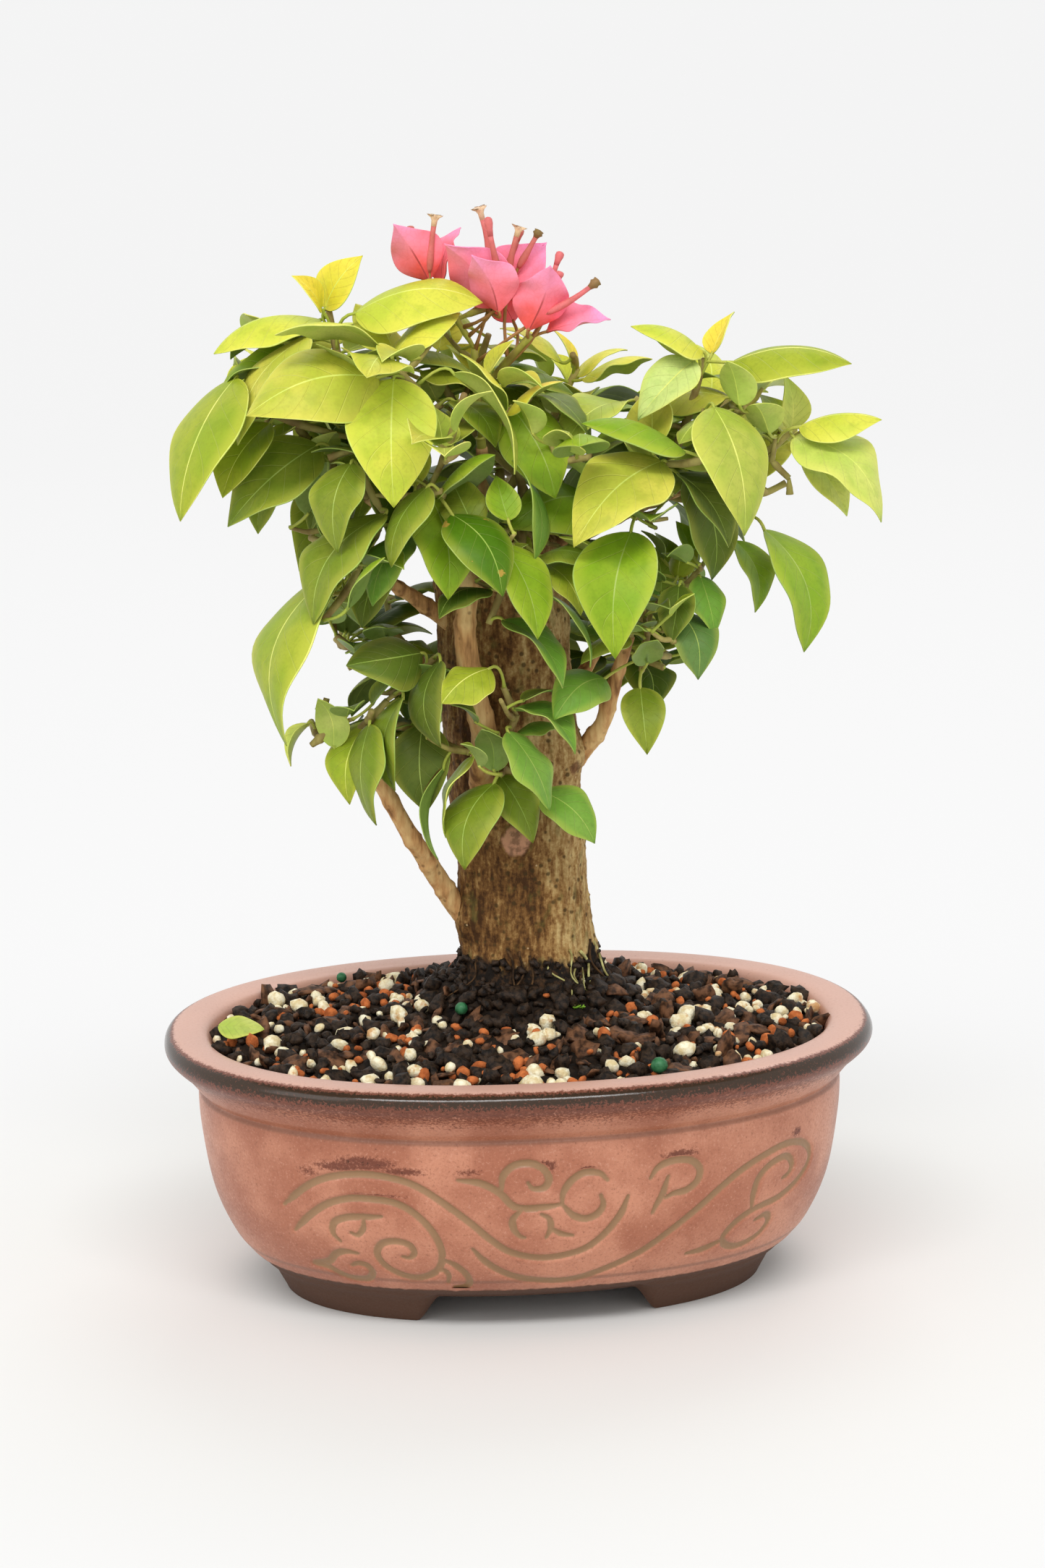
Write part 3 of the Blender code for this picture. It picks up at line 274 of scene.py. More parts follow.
# Height, middle in X, radius
TRUNK_SECTIONS = (
    (TRUNK_FOOT, 4.3, 22.0), (82.0, 4.3, 21.2), (88.0, 4.2, 20.1), (95.0, 4.0, 19.0), (106.0, 3.4, 18.6),
    (122.0, 2.5, 18.5), (140.0, 1.7, 18.7), (158.0, 0.9, 18.8), (176.0, 0.2, 18.7), (194.0, -0.5, 18.6),
    (206.0, -0.9, 18.4), (212.0, -1.0, 17.8), (TRUNK_TOP, -1.1, 16.4),
)
ROOT_LOBES = 5
ROOT_LOBE_DEPTH = 2.6
ROOT_LOBE_TOP = 100.0
# Shallow flutes that wind up the trunk: how many, how high for each radian of turn, how deep
TRUNK_FLUTES = ((3, 40.0, 0.7), (7, -25.0, 0.4))
# Round swellings on the bark: angle, height, how far they stand out, spread
TRUNK_BUMPS = ((-92, 128, 2.6, 4.5), (-28, 150, 2.8, 7.0), (-160, 103, 2.2, 7.0), (38, 172, 2.0, 8.0))
# Fine bark: sides and rows of the mesh, how far it goes below the foot, each kind of relief's size,
# length and depth, how much that is raised, and how far apart the kinds' noises are taken
BARK_SIDES = 220
BARK_ROWS = 230
BARK_BELOW = 2.0
BARK_RELIEF = ((14.0, 18.0, 0.5), (2.6, 10.0, 0.3), (1.1, 3.6, 0.22), (0.6, 1.1, 0.12))
BARK_GAIN = 1.6
BARK_SEED_STEP = 7.0
# Warts: how far apart they are, their height, their share of that distance, and how steep they are
WART_SPACING = 4.6
WART_HEIGHT = 0.75
WART_SHARE = 0.2
WART_STEEPNESS = 1.5
# The cut top: rings, the last one's share of the outline, how high and how many its ridges are,
# where they begin, and how far the middle is below the margin
CUT_RINGS = 26
CUT_MIDDLE = 0.05
CUT_RIDGE = 0.35
CUT_RIDGES = 60
CUT_MARGIN = 0.97
CUT_DISH = 0.5
# The bark's colours, from its furrows to its ridges, and of the moss, warts, flecks and wet foot
BARK_RAMP = (
    (0.2, (0.060, 0.025, 0.007)), (0.42, (0.185, 0.086, 0.024)), (0.6, (0.35, 0.205, 0.070)),
    (0.85, (0.58, 0.42, 0.18)),
)
BARK = dict(
    mean=(0.16, 0.09, 0.035), moss=(0.125, 0.110, 0.026), wart=(0.060, 0.036, 0.010),
    fleck=(0.60, 0.44, 0.24), wet=(0.008, 0.005, 0.003), soaked=(0.055, 0.026, 0.010),
)
# The bark is painted paler to the right and darker to the left between these, which is painted light
# from the right, and darker within these of a place low on its front. Below the last two it is wet and
# black.
PAINTED_LIGHT_SIDE = (-4.0, 18.0)
DARK_PLACE_REACH = (8.0, 26.0)
TRUNK_DARK_PLACE = (-3.0, 0.0, 106.0)
WET_BORDER = (101.0, 104.0)
# Pruning scars on the trunk: their margin, then the place, how far each reaches, and its colour
SCAR_MARGIN = (0.6, 1.9)
TRUNK_SCARS = (
    ((-0.3, -2.4, 127.5), 4.6, (0.62, 0.33, 0.19)), ((17.5, 5.0, 147.5), 2.4, (0.24, 0.11, 0.045)),
    ((9.0, 0.0, 108.0), 0.3, (0.50, 0.24, 0.13)), ((-2.5, -1.5, 99.0), 0.2, (0.62, 0.52, 0.36)),
    ((5.5, -1.0, 103.0), 0.2, (0.62, 0.52, 0.36)),
)

# Fine roots at its foot: seed, number, how many are pale and where those are, the heights that they
# start at, where they end, how they sway and drift round the trunk, and how far off it they end
ROOT_SEED = 5
ROOTS = 34
PALE_ROOTS = 6
PALE_ROOT_ANGLES = (-75, -15)
PALE_ROOT_TOPS = (87, 95)
ROOT_TOPS = (82, 96)
ROOT_END_Z = 80.5
ROOT_STEPS = 12
ROOT_SIDES = 7
ROOT_SWAY = (0.03, 0.09)
ROOT_SWAY_START = 6
ROOT_SWAYS = 7
ROOT_DRIFT = 0.25
ROOT_LIFT = (0.2, 5.0)
ROOT_RADII = (0.28, 0.5)
ROOT_TAPER = 0.6

# Boughs: the radius at the foot and at the tip, then the places that each one passes
BOUGHS = {
    "bough_lower_left": (3.3, 2.0, (
        (-8, 14, 98), (-16, 12, 106), (-21, 10, 114), (-26, 6, 123), (-31, 1, 132), (-38, -3, 146),
        (-43, -4, 153))),
    "bough_front": (4.2, 2.2, (
        (-7, 9, 138), (-9, 0, 148), (-9, -6, 160), (-12, -8, 174), (-14, -9, 190), (-13, -9, 203),
        (-18, -8, 213), (-21, -6, 219))),
    "bough_right": (3.2, 1.6, ((13, 15, 142), (21, 12, 151), (26, 8, 159), (29, 5, 170), (33, 2, 184))),
    "bough_upper_left": (3.8, 2.2, ((-6, 17, 202), (-17, 12, 212), (-29, 8, 219), (-38, 5, 226))),
    "bough_upper_right": (3.8, 2.2, ((6, 15, 201), (16, 11, 211), (29, 7, 219), (39, 4, 226))),
    "bough_far_right": (3.4, 1.8, ((8, 21, 202), (21, 19, 212), (41, 14, 222), (60, 8, 230))),
    "bough_top": (3.0, 1.6, ((-3, 13, 208), (-5, 10, 222), (-7, 6, 238))),
    "bough_mid_left": (2.8, 1.6, ((-8, 17, 182), (-18, 13, 190), (-28, 7, 198), (-36, 1, 204))),
    "bough_back_left": (3.6, 2.0, ((-7, 23, 202), (-18, 30, 212), (-30, 37, 221))),
    "bough_back_right": (3.6, 2.0, ((7, 24, 202), (18, 30, 212), (31, 36, 221))),
    "bough_back": (3.2, 1.9, ((-1, 26, 203), (0, 36, 213), (1, 42, 224))),
    "bough_low_back": (3.0, 1.7, ((2, 27, 148), (4, 38, 157), (5, 45, 167))),
    "bough_left_back": (2.9, 1.6, ((-8, 22, 161), (-19, 27, 169), (-28, 32, 179))),
    "bough_right_back": (2.9, 1.6, ((9, 22, 156), (20, 27, 166), (28, 31, 177))),
}

LIMB_SIDES = 8

# Fine boughs: sides, places on each leg, how far they go on past the tip, the flare at the foot and
# how far it reaches, the joints' height, width and spacing and where they begin, and the relief
BOUGH_SIDES = 26
BOUGH_STEPS = 14
BOUGH_PAST = 1.2
BOUGH_FLARE = (0.45, 4)
BOUGH_JOINT = (0.35, 1.1)
BOUGH_JOINT_SPACING = 11
BOUGH_JOINT_START = 9
BOUGH_RELIEF = ((2.2, 2.5, 0.35), (0.9, 1.5, 0.14))
BOUGH_NOISE_RADIUS = 3

# Leaves: how far along the blade, and its share of the full breadth there. The plain stations
# are for the leaves that the rule places, the full ones for those that stand out in the front.
FULL_STATIONS = ((0.12, 0.80), (0.36, 1.0), (0.72, 0.54))
PLAIN_STATIONS = ((0.2, 0.95), (0.62, 0.74))
BLADE_THICKNESS = 0.8
BLADE_BREADTH = 0.70
STALK_RADIUS = 0.6
STALK_ROOT_RADIUS = 0.3
STALK_REACH = 12.0
SIDE_TWIG_SETBACK = 5.0
LEAF_SPACING = 3
LEAF_CLEARANCE = 0.35
TURN_PER_LEAF = 137.5
FRONT_ARCH = (0.05, 0.11)
LEAF_ARCH = (0.05, 0.12)
LEAF_FOLD = (4, 12)
# Shoots: their leaves stand up at the tip and hang lower down, and are full-grown from the fifth on.
# Age goes from 0 at the tip to 1 there.
FULL_GROWN = 5
MOST_LEAVES = 9
LEAFED_SHARE = 0.9
TIP_PITCH = 45.0
PITCH_DROP = 112.0
PITCH_POWER = 0.7
PITCH_SPREAD = 10
OUTWARD_PULL = 0.35
LENGTH_LEAST = 0.5
LENGTH_GROWTH = 0.55
LENGTH_AGES = (0.1, 0.55)
LENGTH_SPREAD = (0.88, 1.1)
STALK_LENGTHS = (5, 8)
STALK_GROWTH = 2
STALK_RISE = (0.4, 15)
LEAF_ROLL = 20
LEAF_STEP = (3.5, 4.5, 2)
HELD_SHARE = 0.85
# How a mass's shoots spread over its space: from the highest to the lowest, how strongly they turn
# away from the trunk, and how far out their tips are
SHOOT_LEVELS = (0.75, 1.3)
SHOOT_TURN = 1.6
SHOOT_REACH = (0.5, 0.72)

# Twigs: how far out a stem's foot on the trunk is looked for, and what counts against a fork, which
# is its distance along the twigs and the forks that are there
STEM_SEARCH = 30
STEM_LENGTH = 4.0
RUN_COST = 0.4
FORK_SPACING = 8.0
SIDE_TWIG_RISE = 0.3
TWIG_STEP = 16.0
TWIG_SAG = 0.06
TWIG_WANDER = 0.025
TWIG_TIP_RADIUS = 0.9
TWIG_TAPER = 0.01
TWIG_ROOT_SHARE = 0.5
TWIG_SIDES = 3
# How far a leaf may be moved along its facing, or turned on its twig, to come clear of others
NUDGES = (0.0, 1.5, -1.5, 3.0, -3.0, 4.5, -4.5, 6.0, -6.0)
SWINGS = (0, 30, -30, 60, -60, 95, -95)

# Masses of leaves. start is a bough's name, or a place on the trunk and the way out of it.
# middle and reach are the space that the mass keeps to. shoots are tips seen in the front, and
# more is how many further shoots the rule adds. size is a full-grown leaf's length.
MASSES = {
    "crown_left": dict(
        start="bough_upper_left", middle=(-58, 4, 244), reach=(42, 34, 46), seed=3, more=3, size=33,
        shoots=((-49, 0, 279), (-76, 4, 256), (-54, 12, 241))),
    "crown_front": dict(
        start="bough_front", middle=(-26, -22, 246), reach=(42, 32, 42), seed=5, more=2, size=32,
        shoots=((-33, -17, 266), (-20, -20, 229))),
    "crown_centre": dict(
        start=((6, 7, TRUNK_TOP), (0.1, -0.5, 1)), middle=(4, -20, 228), reach=(34, 30, 46), seed=8,
        more=2, size=28, shoots=((-3, -19, 251), (2, -15, 214))),
    "crown_right": dict(
        start="bough_upper_right", middle=(48, -8, 236), reach=(50, 34, 46), seed=13, more=3, size=33,
        shoots=((55, 0, 263), (38, -16, 236), (33, -16, 221))),
    "crown_far_right": dict(
        start="bough_far_right", middle=(78, 4, 226), reach=(27, 36, 50), seed=21, more=3, size=31,
        shoots=((80, -2, 243), (68, 4, 217))),
    "crown_top": dict(
        start=((-4, 24, TRUNK_TOP), (0, 0.1, 1)), middle=(2, 22, 252), reach=(38, 26, 36), seed=34,
        more=3, size=26, shoots=((22, 23, 259), (-20, 18, 262))),
    "crown_mid_left": dict(
        start="bough_mid_left", middle=(-46, -8, 204), reach=(30, 32, 46), seed=55, more=2, size=30,
        shoots=((-48, -6, 215), (-36, -18, 224))),
    "crown_low_left": dict(
        start="bough_lower_left", middle=(-46, 0, 164), reach=(32, 28, 36), seed=89, more=4, size=25,
        shoots=((-52, -6, 163), (-36, -8, 171))),
    "crown_low_right": dict(
        start="bough_right", middle=(38, -2, 184), reach=(34, 26, 36), seed=144, more=3, size=20,
        shoots=((44, -4, 199), (36, -4, 176))),
    "crown_low_front": dict(
        start=((1, -1, 148), (-0.4, -1, 0.1)), middle=(-1, -12, 148), reach=(27, 18, 32), seed=233,
        more=0, size=22, shoots=((-6, -8, 152), (0, -10, 166))),
    "crown_back_left": dict(
        start="bough_back_left", middle=(-46, 42, 234), reach=(44, 33, 38), seed=377, more=8, size=33,
        shoots=()),
    "crown_back_right": dict(
        start="bough_back_right", middle=(48, 40, 234), reach=(44, 35, 38), seed=610, more=7, size=33,
        shoots=()),
    "crown_back": dict(
        start="bough_back", middle=(0, 50, 236), reach=(38, 24, 40), seed=987, more=8, size=31,
        shoots=()),
    "crown_left_back": dict(
        start="bough_left_back", middle=(-40, 38, 180), reach=(28, 32, 38), seed=1597, more=6, size=27,
        shoots=()),
    "crown_right_back": dict(
        start="bough_right_back", middle=(38, 36, 178), reach=(27, 32, 38), seed=2584, more=6, size=27,
        shoots=()),
    "crown_low_back": dict(
        start="bough_low_back", middle=(4, 53, 168), reach=(30, 24, 40), seed=4181, more=5, size=27,
        shoots=()),
}

# Leaves that stand out in the front view: the blade's foot, its heading, pitch, length and turn, and
# its tint
FRONT_LEAVES = {
    "crown_left": (
        (-75, -2, 261, -140, -60, 43, 8, "leaf"), (-66, 0, 248, -149, -50, 25, -15, "leaf"),
        (-54, 10, 243, 163, -26, 26, 0, "dark"), (-57, -6, 274, -157, -52, 36, 0, "olive"),
        (-51, 2, 276, -176, -16, 31, 0, "lime"), (-50, 0, 279, -11, 53, 18, 50, "gold"),
        (-51, -2, 279, -143, 44, 14, -60, "gold"), (-42, -5, 278, -10, 4, 35, 24, "lime")),
    "crown_front": (
        (-37, -22, 262, -166, -13, 38, -55, "olive"), (-37, -20, 267, -157, 9, 31, 0, "young"),
        (-32, -8, 268, 125, 36, 20, 0, "young"), (-32, -18, 268, 23, 26, 22, 0, "young"),
        (-33, -22, 262, -97, -67, 36, 0, "lime"), (-16, -10, 254, -51, -36, 20, 0, "moss"),
        (-22, -24, 260, -33, -56, 32, -40, "sage"), (-20, -20, 227, -44, 31, 23, 0, "fresh"),
        (-28, 0, 267, -21, -21, 21, 0, "moss"), (-18, -30, 226, -46, -50, 27, 20, "blotched")),
    "crown_centre": (
        (-3, -20, 252, -154, 50, 21, 0, "young"), (-3, -20, 252, 7, 28, 18, 0, "gold"),
        (0, -14, 253, -28, -63, 28, 35, "fresh"), (1, -16, 239, -60, -66, 29, -55, "green"),
        (9, -6, 255, -52, -32, 22, 0, "grey"), (-4, -27, 217, -51, -62, 28, 0, "fresh"),
        (-4, -17, 194, -40, -42, 26, 0, "green"), (7, -22, 202, -27, -57, 24, -20, "green"),
        (8, -14, 209, -51, -44, 19, 0, "leaf")),
    "crown_right": (
        (40, -20, 237, -149, -34, 37, -35, "olive"), (27, 1, 222, -154, -6, 32, -25, "fresh"),
        (55, -16, 251, -66, -66, 37, 0, "sage"), (31, -22, 218, -115, -65, 36, -10, "fresh"),
        (46, -8, 232, -45, -48, 26, 0, "grey"), (62, -4, 262, -14, -1, 33, 20, "leaf"),
        (54, -2, 265, -163, 20, 23, 0, "lime"), (57, 0, 264, 33, 53, 14, 0, "gold"),
        (51, -6, 263, -155, -40, 24, -35, "mint"), (31, -4, 254, -147, -29, 26, 0, "sage")),
    "crown_far_right": (
        (79, -6, 241, -24, -43, 34, 35, "pale"), (83, 2, 236, -29, -54, 22, 30, "pale"),
        (80, -8, 244, -15, 5, 23, 20, "lime"), (80, 4, 242, 114, 75, 16, 0, "pale"),
        (71, -4, 215, -30, -71, 36, 0, "fresh"), (64, 4, 211, -49, -70, 21, 0, "fresh")),
    "crown_top": (
        (-9, 8, 272, 152, 21, 19, 0, "sage"), (0, 6, 262, -29, -14, 22, 0, "grey"),
        (17, 20, 261, 160, 28, 20, 0, "young"), (21, 24, 259, 156, 62, 12, 0, "gold"),
        (21, 24, 259, 16, 24, 17, 0, "young"), (23, 20, 256, -18, 16, 21, 0, "young")),
    "crown_mid_left": (
        (-45, -22, 239, -118, -67, 25, 0, "moss"), (-36, -22, 225, -159, -52, 36, 0, "moss"),
        (-52, -12, 208, -140, -68, 49, 14, "leaf"), (-25, -30, 233, -149, -59, 24, 0, "moss"),
        (-30, -16, 219, -141, -55, 23, 0, "green"), (-49, 4, 214, 164, 51, 23, 0, "moss"),
        (-35, 4, 211, -131, -61, 23, 0, "grey"), (-53, -2, 242, -163, -38, 34, -40, "moss"),
        (-59, 4, 239, -146, -57, 25, 0, "moss")),
    "crown_low_left": (
        (-26, -8, 184, -147, -1, 26, -55, "grey"), (-24, -15, 183, -96, -70, 24, 55, "grey"),
        (-35, 2, 178, 147, -50, 19, 0, "moss"), (-51, -8, 158, -138, 68, 16, 10, "sage"),
        (-43, -8, 166, -135, -68, 24, 0, "leaf"), (-39, -12, 165, -83, -76, 28, 60, "moss"),
        (-32, -15, 173, -118, -75, 26, 50, "moss"), (-26, -3, 163, -89, -76, 25, 0, "grey"),
        (-18, -12, 157, -155, -67, 24, 15, "leaf"), (-58, -2, 164, -159, -64, 13, 10, "pale")),
    "crown_low_right": (
        (46, -6, 193, -69, -57, 21, 0, "blue"), (46, -10, 201, -116, -64, 17, 0, "grey"),
        (52, -4, 202, -66, -65, 17, 0, "green"), (35, -8, 172, -88, -58, 20, 0, "moss"),
        (25, -8, 175, -142, -24, 22, -40, "green")),
    "crown_low_front": (
        (-8, -16, 176, -144, -23, 19, -25, "leaf"), (-1, -12, 168, -33, -31, 22, 0, "green"),
        (-3, -14, 162, -38, -58, 25, 0, "green"), (-6, -10, 151, -123, 62, 15, 0, "moss"),
        (-7, -12, 147, -133, -58, 26, 0, "moss"), (-4, -9, 149, -31, -62, 21, 40, "moss"),
        (7, -6, 143, -23, -43, 21, 35, "green")),
}

# Where the photo was taken from, and the crown's outline from there, across and up in the plane Y = 0.
# The rule's leaves keep within the outline, and hide neither a front leaf nor these gaps of sky.
VIEWPOINT = Vector((-90.3, -960.6, 350.0))
CROWN_OUTLINE = (
    (-15, 127), (-34, 140), (-48, 143), (-48, 154), (-59, 156), (-57, 170), (-47, 172), (-47, 183),
    (-54, 194), (-67, 193), (-62, 204), (-54, 212), (-64, 216), (-62, 234), (-74, 237), (-81, 235),
    (-88, 238), (-88, 248), (-80, 259), (-77, 271), (-71, 281), (-56, 279), (-50, 275), (-42, 278),
    (-40, 284), (-28, 285), (-12, 286), (-7, 279), (3, 275), (15, 269), (30, 271), (23, 257), (34, 250),
    (41, 262), (55, 268), (63, 261), (79, 257), (82, 245), (86, 240), (73, 232), (73, 215), (80, 208),
    (79, 198), (67, 196), (60, 203), (57, 187), (57, 172), (46, 169), (45, 157), (36, 157), (33, 170),
    (21, 161), (19, 169), (15, 153), (10, 138), (-3, 123),
)
OPEN_SKY = ((-54, 244), (-22, 189), (-37, 191), (26, 181), (21, 214), (-2, 162))
# Places on a front leaf that stay in view: the share along the blade, and across it
SEEN_PLACES = (
    (0.08, 0.0), (0.35, -0.38), (0.35, 0.0), (0.35, 0.38), (0.7, -0.2), (0.7, 0.2), (0.95, 0.0),
)
SIGHT_SPARE = 1.5
SKY_REACH = 2.0
# The places on a twig that stay in the outline, how far it is drawn in at a time, and how often
TWIG_PLACES = (0.5, 0.8, 1.0)
DRAW_IN = 0.8
DRAW_IN_MOST = 8

# Blossom: three bracts and a few slim flowers round each of these places at the top of the crown
BLOSSOM_NODE = "blossom"
BLOSSOM_START = "bough_top"
BLOSSOM_SEED = 17
BLOSSOM_SHOOTS = ((-9, 2, 267), (-19, 0, 284), (-2, -2, 279), (6, -6, 271))
BRACT_BREADTH = 0.8
BRACT_ARCH = 0.12
BRACT_FOLD = 10.0
BRACTS = (
    (-21, 2, 286, -157, 56, 19, 50), (-20, 3, 286, 39, 63, 17, -15), (-3, 0, 280, -164, 51, 23, 60),
    (-2, -6, 279, -140, 58, 19, 25), (-2, -2, 280, 16, 48, 21, 50), (5, -8, 273, -50, 64, 20, -40),
    (10, -6, 273, -7, 10, 18, 30), (3, -2, 275, 165, 62, 14, -60),
)
# Where the bracts of each cluster meet, and how far off their colour is that of the tips
BRACT_HEARTS = ((-20.5, 2.5, 286), (-2.5, -3, 279.5), (6, -6, 273.5))
BRACT_REACH = 19.0
BRACT_COLOUR = (0.95, 0.27, 0.33)
BRACT_RAMP = (
    (0.0, (0.46, 0.05, 0.035)), (0.2, (0.84, 0.11, 0.10)), (0.42, (0.96, 0.20, 0.25)),
    (0.7, (0.98, 0.28, 0.39)), (1.0, (0.95, 0.34, 0.58)),
)
BRACT_NET = (0.72, 0.10, 0.13)
BRACT_RIB = (0.36, 0.05, 0.05)
FLOWER_COLOURS = {
    "flower": (0.70, 0.17, 0.17), "flower_mouth": (0.92, 0.62, 0.42), "flower_dry": (0.30, 0.17, 0.07),
    "flower_stalk": (0.46, 0.22, 0.085),
}
# Each flower: its foot, heading, pitch, length and kind of end
FLOWERS = (
    (-24, 4, 290, 175, 80, 11, "bud"), (-21, 2, 288, -30, 82, 16, "star"),
    (-4, 0, 288, 180, 80, 18, "star"), (-2, -8, 285, -151, 77, 19, "bud"),
    (0, -4, 286, -17, 76, 15, "star"), (-1, -1, 288, 20, 64, 13, "bud"), (3, -3, 289, 0, 59, 12, "dry"),
    (11, -6, 280, 0, 75, 14, "bud"), (11, -8, 279, -30, 70, 10, "bud"), (10, -9, 277, 0, 31, 17, "dry"),
)
# The fine flowers: shares of the length and radii there, of the tube and then of each kind of end,
# how far they bow, and an open one's lobes: how many, and shares of its radius
FLOWER_SIDES = 20
FLOWER_BOW = 0.06
FLOWER_LOBES = (5, 0.68, 0.32)
FLOWER_TUBE = ((0.0, 0.08, 0.2, 0.35, 0.5, 0.65), (0.45, 0.85, 1.05, 1.0, 0.8, 0.7))
FLOWER_ENDS = {
    "bud": ((0.72, 0.82, 0.9, 0.96, 0.99, 1.0), (0.72, 0.9, 1.2, 1.15, 0.7, 0.1)),
    "star": ((0.8, 0.9, 0.95, 0.985, 1.0, 0.93), (0.75, 0.85, 1.3, 2.3, 2.5, 0.3)),
    "dry": ((0.8, 0.86, 0.9, 0.94, 0.98, 1.0), (0.7, 1.0, 1.5, 1.2, 1.4, 0.3)),
}
FLOWER_KINDS = {"star": 2, "bud": 0, "dry": 3}
# The plain flowers that the leaves keep clear of
FLOWER_RADIUS = 0.9
FLOWER_THROAT = 0.85
FLOWER_NECK = 0.8
FLOWER_MOUTH_RADIUS = 1.9

# Finer twigs, which the solids leave out, and one dead leaf: foot, heading, pitch, turn and length
DEAD_LEAF_MASS = "crown_low_left"
DEAD_LEAF = (-21, -12, 152, -146, -84, 30, 26)
DEAD_LEAF_SHARE = 0.5
DEAD_LEAF_ARCH = 0.1
DEAD_LEAF_FOLD = 30.0
FINER_TRIES = 60
FINER_MOST = 7
FINER_PLACES = (0, 0.85)
FINER_HEADING = 120
FINER_PITCH = (-25, 55)
FINER_LENGTH = (7.0, 16.0)
FINER_SIZE = 0.72
FINER_TAPER = (1, 0.8, 0.6)
FINER_CLEAR = 2
# The fine twigs' sides, places on each leg, and how high, wide and far apart their joints are
FINE_TWIG_SIDES = 9
FINE_TWIG_STEPS = 6
TWIG_JOINT = (0.22, 0.8, 9.0)
# The stalks: sides, places, where they bend, how far they go into the blade, and their radii
STALK_SIDES = 6
STALK_STEPS = 7
STALK_BEND = 0.45
STALK_END = 0.8
STALK_RADII = ((0, 0.15, 1), (0.75, 0.45, 0.5))

# Plain base colours of the leaves, and the order in which the rule deals them, from low to high. The
# dark tints that it deals low in the crown are partly older leaves' own colour and partly painted shade.
PAINT_SEED = 29
TINTS = {
    "gold": (0.88, 0.69, 0.07), "young": (0.74, 0.70, 0.08), "lime": (0.66, 0.66, 0.072),
    "mint": (0.58, 0.69, 0.21), "pale": (0.66, 0.70, 0.15), "sage": (0.47, 0.51, 0.08),
    "olive": (0.62, 0.58, 0.078), "leaf": (0.37, 0.43, 0.03), "fresh": (0.28, 0.41, 0.02),
    "green": (0.20, 0.36, 0.05), "moss": (0.22, 0.275, 0.024), "grey": (0.145, 0.19, 0.026),
    "blue": (0.13, 0.23, 0.055), "dark": (0.085, 0.135, 0.012), "blotched": (0.09, 0.19, 0.006),
    "dead": (0.10, 0.045, 0.012),
}
RULE_TINTS_WITH_PAINTED_SHADE = (
    "dark", "grey", "blue", "dark", "moss", "grey", "green", "dark", "moss", "grey", "fresh", "moss",
    "leaf", "sage", "olive", "lime", "young", "gold",
)
PALE_TINTS = ("gold", "young", "lime", "mint", "pale", "sage", "olive", "leaf")
LOWEST_LEAF = 130.0
HIGHEST_LEAF = 285.0
YOUTH = 0.35
TINT_SPREAD = 0.13
TINT_STEEPNESS = 0.72
OTHER_COLOURS = {
    "edge_young": (0.82, 0.82, 0.20), "edge_old": (0.42, 0.52, 0.12), "under_light": (0.54, 0.60, 0.14),
    "under_dark": (0.25, 0.33, 0.085), "stalk": (0.52, 0.53, 0.10),
}
FALLEN_COLOUR = (0.50, 0.56, 0.12)
SEEDLING_COLOUR = (0.26, 0.46, 0.05)
# How satin they are, what a leaf's greener patches keep of its red, green and blue, and the colours
# that its margin, its veins and its blotches lean to
LEAF_ROUGHNESS = 0.44
LEAF_SPECULAR = 0.18
LEAF_GREENING = (0.72, 0.88, 0.6)
MARGIN_COLOUR = (0.90, 0.82, 0.12)
VEIN_COLOUR = (0.80, 0.84, 0.25)
BLOTCH_COLOUR = (0.46, 0.29, 0.05)

# Rough surfaces: dark and light colour, size of the pattern and roughness, and then the depth,
# stretch and stain where they aren't as given first
SOFT_DEFAULTS = [0.1, (1, 1, 1), None]
SOFT_FINISHES = {
    "cut_wood": ((0.20, 0.11, 0.05), (0.42, 0.27, 0.14), 4.0, 0.8),
    "twig_bark": ((0.24, 0.16, 0.055), (0.46, 0.40, 0.12), 6.0, 0.6, 0.15, (1, 1, 2)),
    "stem_bark": ((0.30, 0.24, 0.06), (0.46, 0.46, 0.08), 5.0, 0.5, 0.1, (1, 1, 2)),
    "pale_root": ((0.26, 0.22, 0.07), (0.58, 0.55, 0.22), 3.0, 0.6),
    "dark_root": ((0.020, 0.010, 0.004), (0.10, 0.05, 0.018), 3.0, 0.8),
    "soil_bed": ((0.004, 0.002, 0.001), (0.022, 0.012, 0.006), 2.5, 0.8),
    "soil_dark": ((0.004, 0.002, 0.001), (0.044, 0.025, 0.014), 1.5, 0.55, 0.3),
    "soil_flake": ((0.022, 0.009, 0.004), (0.19, 0.085, 0.040), 2.4, 0.6),
    "soil_pumice": (
        (0.70, 0.56, 0.30), (0.95, 0.90, 0.68), 2.0, 0.9, 0.3, (1, 1, 1), (0.56, 0.26, 0.07)),
    "soil_grit": ((0.34, 0.085, 0.022), (0.62, 0.18, 0.050), 2.0, 0.85, 0.25),
    "soil_bead": ((0.015, 0.10, 0.035), (0.05, 0.19, 0.08), 2.0, 0.35, 0.03),
}
BOUGH_RAMP = ((0.28, (0.26, 0.12, 0.042)), (0.47, (0.60, 0.32, 0.12)), (0.72, (0.80, 0.55, 0.24)))

# Fine leaves: rows along the blade, and the strips across it as shares of half its width
LEAF_ROWS = 26
SMALL_LEAF_ROWS = 14
SMALL_LEAF = 16.0
LEAF_STRIPS = (-1, -0.975, -0.8, -0.55, -0.28, -0.02, 0.02, 0.28, 0.55, 0.8, 0.975, 1)
LEAF_EDGE = 0.97
LEAF_MIDRIB = 0.05
LEAF_HALF_THICKNESS = 0.14
MIDRIB_GROOVE = 0.1
MIDRIB_KEEL = 0.45
MIDRIB_TAPER = 0.8
# How the rows crowd at the foot, and half the least breadth at shares of the length
LEAF_CROWDING = 1.25
LEAST_HALF = ((0, 0.1, 0.9, 1), (0.42, 0.42, 0.15, 0.05))
